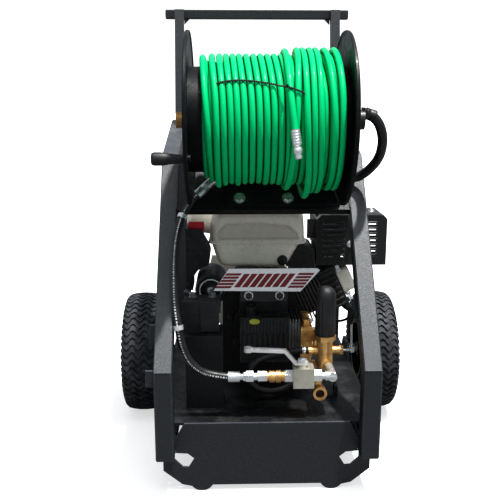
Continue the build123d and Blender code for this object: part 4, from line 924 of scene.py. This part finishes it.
    # feet and studs under the flange, and the fuel tap
    bm = bmesh.new()
    for x in (-0.118, 0.087):
        for y in (y0 + 0.030, y1 - 0.030):
            screw(bm, (x, y, z_seam - 0.0026), (0, 0, -1), 0.010, 0.006, 0.008)
    mesh_piece("tank_screws", bm, STEEL)
    bm = bmesh.new()
    place = turned_to((0.050, y0 + 0.006, 0.470), (0, -1, -0.35))
    lathe(bm, place, mm((13, -4), (13, 1), (10.5, 3), (10.5, 8), (7, 10), (4, 10), (3.5, 8.5), (0, 8.5)),
          32)
    mesh_piece("tank_outlet", bm, BLACK_PLASTIC)


# ---------------------------------------------------------------- unloader knob and crank knob
def build_unloader_knob():
    """Tall domed knob with moulded flutes low down."""
    low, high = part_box("unloader_knob")
    place = Matrix.Translation(((low.x + high.x) / 2, (low.y + high.y) / 2, 0))
    base, top = low.z, high.z
    bm = bmesh.new()
    levels = [(0.0215, base), (0.0235, base + 0.002), (0.024, base + 0.006), (0.024, base + 0.03),
              (0.0238, base + 0.06), (0.0234, base + 0.082), (0.0228, base + 0.094), (0.0212, base + 0.102),
              (0.019, top - 0.01), (0.0155, top - 0.0055), (0.0105, top - 0.002), (0.005, top - 0.0004)]
    rings = []
    for radius, z in levels:
        fluted = max(0.0, min(1.0, (base + 0.092 - z) / 0.012))
        fluted *= max(0.0, min(1.0, (z - base - 0.001) / 0.005))
        rings.append([place @ Vector((r * cos(a), r * sin(a), z)) for a, r in
                      ((2 * pi * i / 96, radius - 0.0017 * fluted * max(0.0, cos(12 * 2 * pi * i / 96)) ** 3)
                       for i in range(96))])
    loft(bm, rings)
    # the adjusting stem's nut underneath
    lathe(bm, place @ Matrix.Translation((0, 0, base - 0.0008)), mm((14.5, 0), (14.5, 2)), 6)
    knob = mesh_piece("unloader_cap", bm, BLACK_PLASTIC, "unloader_knob", sharp=50)
    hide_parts("unloader_knob")


def build_crank_grip():
    """Tapered crank grip with a flared end, a groove and a screw."""
    low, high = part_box("crank_knob")
    place = turned_to((high.x, (low.y + high.y) / 2, (low.z + high.z) / 2), (-1, 0, 0))
    long = high.x - low.x
    bm = bmesh.new()
    lathe(bm, place, [(0.0045, 0.0004), (0.0076, 0.0004), (0.0084, 0.0012), (0.0088, 0.006),
                      (0.0096, 0.016), (0.0106, 0.025), (0.0112, 0.0275), (0.0107, 0.0285),
                      (0.0107, 0.0298), (0.0115, 0.0308), (0.0128, 0.038), (0.0135, 0.046), (0.0136, 0.057),
                      (0.013, 0.0605), (0.0116, long - 0.0012), (0.01, long - 0.0002),
                      (0.0062, long - 0.0002), (0.0058, long - 0.003), (0, long - 0.003)], 48)
    knob = mesh_piece("crank_grip", bm, BLACK_PLASTIC, "crank_knob", sharp=40)
    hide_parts("crank_knob")
    bm = bmesh.new()
    screw(bm, place @ Vector((0, 0, long - 0.0032)), (-1, 0, 0), 0.008, 0.0026)
    mesh_piece("crank_grip_screw", bm, STEEL, "crank_knob")


# ---------------------------------------------------------------- name plate
def build_plate():
    """Raised lozenges of the checker plate, and plain red stripes and bars on its face."""
    low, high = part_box("checker_plate")
    front = low.y
    outline = [(-0.118, 0.437), (-0.083, 0.488), (0.118, 0.488), (0.124, 0.484), (0.080, 0.434)]

    def lean(x, z):
        """The place across of a point of the print's layout, whose uprights lean to the right."""
        return x + 0.75 * (z - 0.461)

    def inside(x, z, margin):
        """Whether a point is on the plate, away from its edges."""
        ok = True
        for (ax, az), (bx, bz) in zip(outline, outline[1:] + outline[:1]):
            long = hypot(bx - ax, bz - az)
            ok = ok and ((z - az) * (bx - ax) - (x - ax) * (bz - az)) / long < -margin
        return ok

    lozenge = mm((4.3, 0), (1.7, 1.3), (-1.7, 1.3), (-4.3, 0), (-1.7, -1.3), (1.7, -1.3))
    bm = bmesh.new()
    for row, z in enumerate((0.4398, 0.4506, 0.4613, 0.4720, 0.4827)):
        for column in range(26):
            x = lean(-0.126 + 0.0098 * column, z)
            way = 1 if (row + column) % 2 else -1
            in_print = -0.106 < x - lean(0, z) < 0.104 and 0.441 < z < 0.480
            if inside(x, z, 0.0031) and not in_print:
                place = turned_to((x, front, z), (0, -1, 0), (way * 0.8, 0, 1))
                loft(bm, [[place @ Vector((a * s, b * s, h)) for a, b in lozenge]
                          for s, h in ((1.0, -0.0002), (0.7, 0.0014))])
    mesh_piece("checker_lozenges", bm, CHECKER, sharp=25)
    bm = bmesh.new()

    def band(x0, x1, z0, z1):
        """A slanted bar of print, from the limits of its middle line and its height."""
        points = [(lean(x0, z0), z0), (lean(x1, z0), z0), (lean(x1, z1), z1), (lean(x0, z1), z1)]
        place = Matrix(((1, 0, 0, 0), (0, 0, -1, front), (0, 1, 0, 0), (0, 0, 0, 1)))
        slab(bm, place, points, -0.0001, 0.0004)

    for i in range(5):
        z = 0.4430 + 0.0074 * i
        band(-0.101, -0.066, z, z + 0.0052)
        band(0.064, 0.099, z, z + 0.0052)
    for i in range(7):
        x = -0.0595 + 0.0172 * i
        band(x, x + 0.0132, 0.4450, 0.4765)
    mesh_piece("plate_print", bm, RED_PRINT)


# ---------------------------------------------------------------- frame details
def weld(bm, start, end, radius=0.0032):
    """A rippled weld bead along a line."""
    start, end = Vector(start), Vector(end)
    count = max(4, int((end - start).length / 0.0016))
    place = turned_to(start, end - start)
    long = (end - start).length
    profile = [(0.3 * radius, 0)]
    for i in range(1, count):
        profile.append((radius * (0.86 + 0.14 * sin(i * 2.1)), long * i / count))
    profile.append((0.3 * radius, long))
    lathe(bm, place, profile, 10)


def build_frame_details():
    """Weld beads and plugs in the handle bar's ends."""
    low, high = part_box("push_handle")
    bm = bmesh.new()
    for side in (-1, 1):
        x0, x1 = sorted((side * INNER, side * (INNER + 0.040)))
        foot = on_slope(0, 0, 0.0)
        weld(bm, (x0 + 0.003, foot.y + 0.0005, foot.z), (x1 - 0.003, foot.y + 0.0005, foot.z), 0.0016)
        # platform to the legs, along the slope
        weld(bm, on_slope(side * INNER / MM, 392, 0), on_slope(side * INNER / MM, 532, 0), 0.003)
        # handle's uprights on the top rails
        top = Vector((side * 0.218, FRONT + 0.603, 0.7968))
        for dx in (-0.0125, 0.0125):
            weld(bm, top + Vector((dx, -0.014, -0.003)), top + Vector((dx, 0.014, 0.003)), 0.0026)
        for dy, dz in ((-0.0135, -0.0032), (0.0135, 0.0032)):
            weld(bm, top + Vector((-0.011, dy, dz)), top + Vector((0.011, dy, dz)), 0.0026)
        # handle bar to the uprights
        for dx in (-0.0125, 0.0125):
            weld(bm, (top.x + dx, high.y - 0.024, high.z - 0.0255),
                 (top.x + dx, high.y - 0.002, high.z - 0.0255), 0.0024)
        # wheel plate along the lower rail
        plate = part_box("side_frame_right")[1].x - 0.008
        for y in (0.118, 0.232):
            weld(bm, (side * plate, y, 0.097), (side * plate, y, 0.131), 0.003)
        # apron's back to the rails
        weld(bm, (side * (INNER - 0.001), FRONT + 0.046, 0.1),
             (side * (INNER - 0.001), FRONT + 0.046, 0.124), 0.003)
    mesh_piece("frame_welds", bm, FRAME_PAINT, sharp=70)
    bm = bmesh.new()
    for side, x in ((-1, low.x), (1, high.x)):
        place = turned_to((x, high.y - 0.0125, high.z - 0.0125), (side, 0, 0), Z)
        rings = []
        for half, h in mm((9.6, -4), (11.2, -0.1), (11.6, 0.4), (10.4, 1.5), (6, 2.2)):
            ring = rounded_ring((-half, half), (-half, half), h, min(0.003, half * 0.4), 4)
            rings.append([place @ p for p in ring])
        loft(bm, rings)
    mesh_piece("handle_plugs", bm, BLACK_PLASTIC)


def build_reel_details():
    """Ring of rivets on each disc's hub, a rolled bead inside each rim and the spokes pressed into the discs.
    """
    bm = bmesh.new()
    for side in (-1, 1):
        screw_circle(bm, (side * 0.1665, REEL_Y, REEL_Z), X * side, Y, 0.062, 6, 0.3, 0.01, 0.005, 0.008)
    mesh_piece("reel_rivets", bm, STEEL, "reel")
    bm = bmesh.new()
    for side in (-1, 1):
        # rolled bead inside each rim, and stiffening ribs on the outer faces
        place = turned_to((side * 0.1662, REEL_Y, REEL_Z), (side, 0, 0))
        lathe(bm, place, mm((150, -0.6), (151.5, 1.2), (154, 1.8), (156.5, 1.2), (158, -0.6)), 128)
        for i in range(8):
            a = 2 * pi * i / 8 + 0.15
            rings = []
            for r, wide, h in ((0.076, 0.002, 0.0002), (0.080, 0.0055, 0.0018), (0.110, 0.0075, 0.0022),
                               (0.140, 0.0055, 0.0018), (0.144, 0.002, 0.0002)):
                centre = place @ Matrix.Rotation(a, 4, "Z") @ Matrix.Translation((r, 0, 0))
                rings.append([centre @ Vector((0, wide * cos(b), h * max(0.0, sin(b)) - 0.0006))
                              for b in (pi * k / 8 for k in range(9))])
            loft(bm, rings)
    mesh_piece("reel_ribs", bm, REEL_PAINT, "reel", sharp=50)


# ---------------------------------------------------------------- engine and pump details
def build_engine_details():
    guard_low, guard_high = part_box("muffler_guard")
    bm = bmesh.new()
    # lips pressed out below the guard's louvres
    for i in range(7):
        z = guard_low.z + 0.024 + 0.014 * i
        for x in (0.185, 0.268):
            rings = []
            for dx, out, tall in ((-0.0285, 0.0004, 0.001), (-0.024, 0.0034, 0.0030), (0.024, 0.0034, 0.0030),
                                  (0.0285, 0.0004, 0.001)):
                rings.append([Vector((x + dx, guard_low.y + 0.0005 - out * max(0.0, sin(b)),
                                      z + 0.003 + tall * cos(b))) for b in (pi * k / 6 for k in range(7))])
            loft(bm, rings)
    # the fin paint's bright edges make a painted highlight on the lips
    mesh_piece("guard_louvres", bm, FIN_PAINT, sharp=60)
    bm = bmesh.new()
    screw(bm, (0.2265, guard_low.y, 0.501), (0, -1, 0), 0.010, 0.006, 0.009)
    for x in (0.17, 0.29):
        screw(bm, (x, guard_low.y + 0.06, guard_high.z), (0, 0, 1), 0.010, 0.005, 0.008)
    # bolts of the cylinder head and its lower cover
    for across in (-46, 46):
        for y in (-52, 52):
            screw(bm, on_cylinder(232, across, BORE_BACK + y), (cos(TILT), 0, sin(TILT)), 0.012, 0.008, 0.010)
    for across in (-34, 34):
        screw(bm, on_cylinder(236, across, BORE_BACK - 43.5), (0, -1, 0), 0.009, 0.005, 0.007)
    # starter motor's bright rim and centre bolt
    face = at(-128, 269.5, 404)
    lathe(bm, turned_to(face, (0, -1, 0)),
          mm((24.5, 0), (25.2, 1.4), (26.8, 1.7), (28.4, 0.8), (28.4, -1.5)), 64, capped=False)
    screw(bm, face, (0, -1, 0), 0.011, 0.007, 0.009)
    # fan housing screws
    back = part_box("fan_housing")[1].y
    screw_circle(bm, (0, back, CRANK_Z), Y, X, 0.110, 6, 0.4, 0.009, 0.005, 0.008)
    # washers and heads of the name plate's two bolts, and the manifold's side bolts
    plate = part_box("checker_plate")
    for x in (-0.038, 0.033):
        lathe(bm, turned_to((x, plate[1].y, 0.424), (0, -1, 0)),
              mm((10.5, 0), (10.5, 1.6), (9.8, 2.2), (0, 2.2)), 32)
    for y in (FRONT + 0.207, FRONT + 0.285):
        screw(bm, (0.116, y, 0.318), (1, 0, 0), 0.010, 0.008, 0.008)
    mesh_piece("engine_bolts", bm, STEEL)
    bm = bmesh.new()
    # painted bolts of the crankcase's side cover, the pump's bell and the control box
    screw_circle(bm, (0, FRONT + 0.326, CRANK_Z), -Y, X, 0.082, 7, 0.2, 0.012, 0.007, 0.009)
    screw_circle(bm, (0, FRONT + 0.3145, CRANK_Z), -Y, X, 0.060, 4, pi / 4, 0.011, 0.006, 0.008)
    for x, z in ((-0.183, 0.412), (-0.183, 0.530), (-0.150, 0.490)):
        screw(bm, (x, FRONT + 0.300, z), (0, -1, 0), 0.007, 0.003, 0.005)
    mesh_piece("engine_dark_bolts", bm, ENGINE_BLACK)
    bm = bmesh.new()
    # oval badge, blank, on the pump
    place = turned_to(at(-23, 194.5, 347), (0, -1, 0), X)
    rings = []
    for s, h in ((1.0, -0.001), (1.0, 0.0006), (0.93, 0.0012), (0.88, 0.0009), (0.6, 0.0011)):
        rings.append([place @ Vector((0.013 * s * cos(a), 0.007 * s * sin(a), h))
                      for a in (2 * pi * k / 40 for k in range(40))])
    loft(bm, rings)
    mesh_piece("pump_badge", bm, YELLOW_PRINT)
    bm = bmesh.new()
    # oil filler caps, dipstick and air cleaner knob
    lathe(bm, turned_to(at(-30, 228, 368), Z),
          mm((12, 0), (13, 1), (13, 8), (11, 9.5), (6, 9.8), (5.5, 14), (0, 14.5)), 10)
    lathe(bm, turned_to(at(214, 558, 590), Z), mm((6, 0), (16, 1), (18, 4), (18, 10), (15, 13), (0, 13.5)),
          8)
    lathe(bm, turned_to(at(-104, 400, 205), (-1, 0, 0.5)),
          mm((13, -6), (13, 6), (16, 7), (16, 16), (13, 18), (0, 18)), 9)
    # dark strainer inside the water inlet
    lathe(bm, turned_to(at(119, 70, 221), (0, -1, 0)), mm((9.6, -6), (9.6, 0), (7, 1), (6, -2), (0, -2)),
          24)
    mesh_piece("filler_caps", bm, BLACK_PLASTIC, "chassis", 0.0005)


def wire(name, points, radius):
    """A cable or thin hose that runs from one part of the machine to another."""
    piece = hose_curve(name, points, radius, BLACK_RUBBER, "chassis", 10, 4)
    length_of(line_of(piece))


def build_wiring():
    """Spark plug lead, fuel hose, battery cables and the control box's harness."""
    tip = on_cylinder(222, -84)
    bm = bmesh.new()
    place = turned_to(tip, tip - on_cylinder(205, -50))
    lathe(bm, place, mm((8.5, -18), (10.5, -12), (10.5, 4), (8.5, 8), (5, 10), (0, 10)), 20)
    mesh_piece("plug_boot", bm, BLACK_RUBBER)
    wire("plug_lead", [tip, tip + Vector((0.008, 0.0, -0.018)), tip + Vector((0.0, 0.01, -0.04)),
                       tip + Vector((-0.03, 0.03, -0.052)), tip + Vector((-0.06, 0.06, -0.04)),
                       tip + Vector((-0.078, 0.088, -0.014)), at(122, 515, 318), at(108, 528, 322)], 0.0035)
    wire("fuel_hose", [at(62, 505, 470), at(80, 518, 460), at(104, 530, 446), at(124, 530, 436),
                       at(140, 520, 430), at(152, 508, 432)], 0.0045)
    wire("harness", [at(-181, 330, 398), at(-183, 322, 388), at(-188, 300, 384), at(-191, 262, 394),
                     at(-188, 230, 412), at(-180, 206, 420), at(-170, 192, 416)], 0.0045)
    wire("battery_cable", [at(-122, 190, 417), at(-119, 198, 428), at(-106, 214, 436), at(-90, 238, 430),
                           at(-84, 262, 418), at(-89, 282, 410), at(-97, 290, 406)], 0.0042)
    bm = bmesh.new()
    for x in (-0.168, -0.122):
        lathe(bm, turned_to((x, FRONT + 0.189, 0.4105), Z),
              mm((10, 0), (10, 2), (8, 3), (8, 10), (6, 11), (0, 11)), 20)
    mesh_piece("battery_terminals", bm, DARK_STEEL)


# ---------------------------------------------------------------- stage, light and camera
def by_view(tree, seen, elsewhere):
    """One shader where the camera sees it, and another one as a light for the machine."""
    mixed = tree.nodes.new("ShaderNodeMixShader")
    camera_ray = tree.nodes.new("ShaderNodeLightPath").outputs["Is Camera Ray"]
    for socket, end in zip(mixed.inputs, (camera_ray, elsewhere.outputs[0], seen.outputs[0])):
        tree.links.new(end, socket)
    return mixed.outputs[0]


def build_stage():
    floor = bpy.data.materials.new("floor")
    floor.use_nodes = True
    tree = floor.node_tree
    tree.nodes.clear()
    # pale and evenly lit where it is seen, and less bright as a light for the machine
    seen = tree.nodes.new("ShaderNodeBsdfDiffuse")
    seen.inputs["Color"].default_value = (0.6, 0.6, 0.6, 1)
    glow = tree.nodes.new("ShaderNodeEmission")
    glow.inputs["Strength"].default_value = 0.45
    lit = tree.nodes.new("ShaderNodeAddShader")
    bounce = tree.nodes.new("ShaderNodeBsdfDiffuse")
    bounce.inputs["Color"].default_value = (0.16, 0.16, 0.16, 1)
    tree.links.new(seen.outputs[0], lit.inputs[0])
    tree.links.new(glow.outputs[0], lit.inputs[1])
    output = tree.nodes.new("ShaderNodeOutputMaterial")
    tree.links.new(by_view(tree, lit, bounce), output.inputs["Surface"])
    data = bpy.data.meshes.new("floor")
    half = 40.0
    data.from_pydata([(-half, -half, 0), (half, -half, 0), (half, half, 0), (-half, half, 0)], [],
                     [(0, 1, 2, 3)])
    data.materials.append(floor)
    obj = bpy.data.objects.new("floor", data)
    bpy.context.scene.collection.objects.link(obj)

    world = bpy.data.worlds.new("studio")
    world.use_nodes = True
    tree = world.node_tree
    soft = tree.nodes["Background"]
    soft.inputs["Color"].default_value = (0.88, 0.94, 1.0, 1)
    soft.inputs["Strength"].default_value = 0.48
    white = tree.nodes.new("ShaderNodeBackground")
    white.inputs["Color"].default_value = (1, 1, 1, 1)
    # the backdrop that is seen is white, and the light from it is softer
    tree.links.new(by_view(tree, white, soft), tree.nodes["World Output"].inputs["Surface"])
    bpy.context.scene.world = world

    for name, way, energy, wide in SUNS:
        light = bpy.data.lights.new(name, "SUN")
        light.energy = energy
        light.angle = radians(wide)
        light.color = (1.0, 0.99, 0.97)
        lamp = bpy.data.objects.new(name, light)
        lamp.rotation_euler = turned_to((0, 0, 0), way).to_euler()
        bpy.context.scene.collection.objects.link(lamp)
    view = bpy.context.scene.view_settings
    view.view_transform = "Standard"
    view.look = "Medium High Contrast"
    view.exposure = 0.22


# where the two ceiling lights shine from, their strengths and their apparent widths in degrees
SUNS = (("overhead", (0.20, -0.17, 0.95), 4.4, 2.5), ("front", (0.10, -0.42, 0.90), 0.5, 20))


def build_camera():
    """A level-shot camera in front, at the height of the reel, looking a little down."""
    camera = bpy.data.cameras.new("camera")
    camera.lens = 49.87
    camera.sensor_width = 36.0
    obj = bpy.data.objects.new("camera", camera)
    obj.location = (-0.0774, -1.6977, 0.8657)
    obj.rotation_euler = (pi / 2 - 0.216, 0.0, -0.0278)
    bpy.context.scene.collection.objects.link(obj)
    bpy.context.scene.camera = obj


build_camera()
build_stage()
build_green_hose()
build_black_hoses()
build_tyre(-1, "tyre_left", "wheel_left")
build_tyre(1, "tyre_right", "wheel_right")
build_wheel_details(-1, "wheel_left")
build_wheel_details(1, "wheel_right")
build_tank()
build_unloader_knob()
build_crank_grip()
build_plate()
build_frame_details()
build_reel_details()
build_engine_details()
build_wiring()
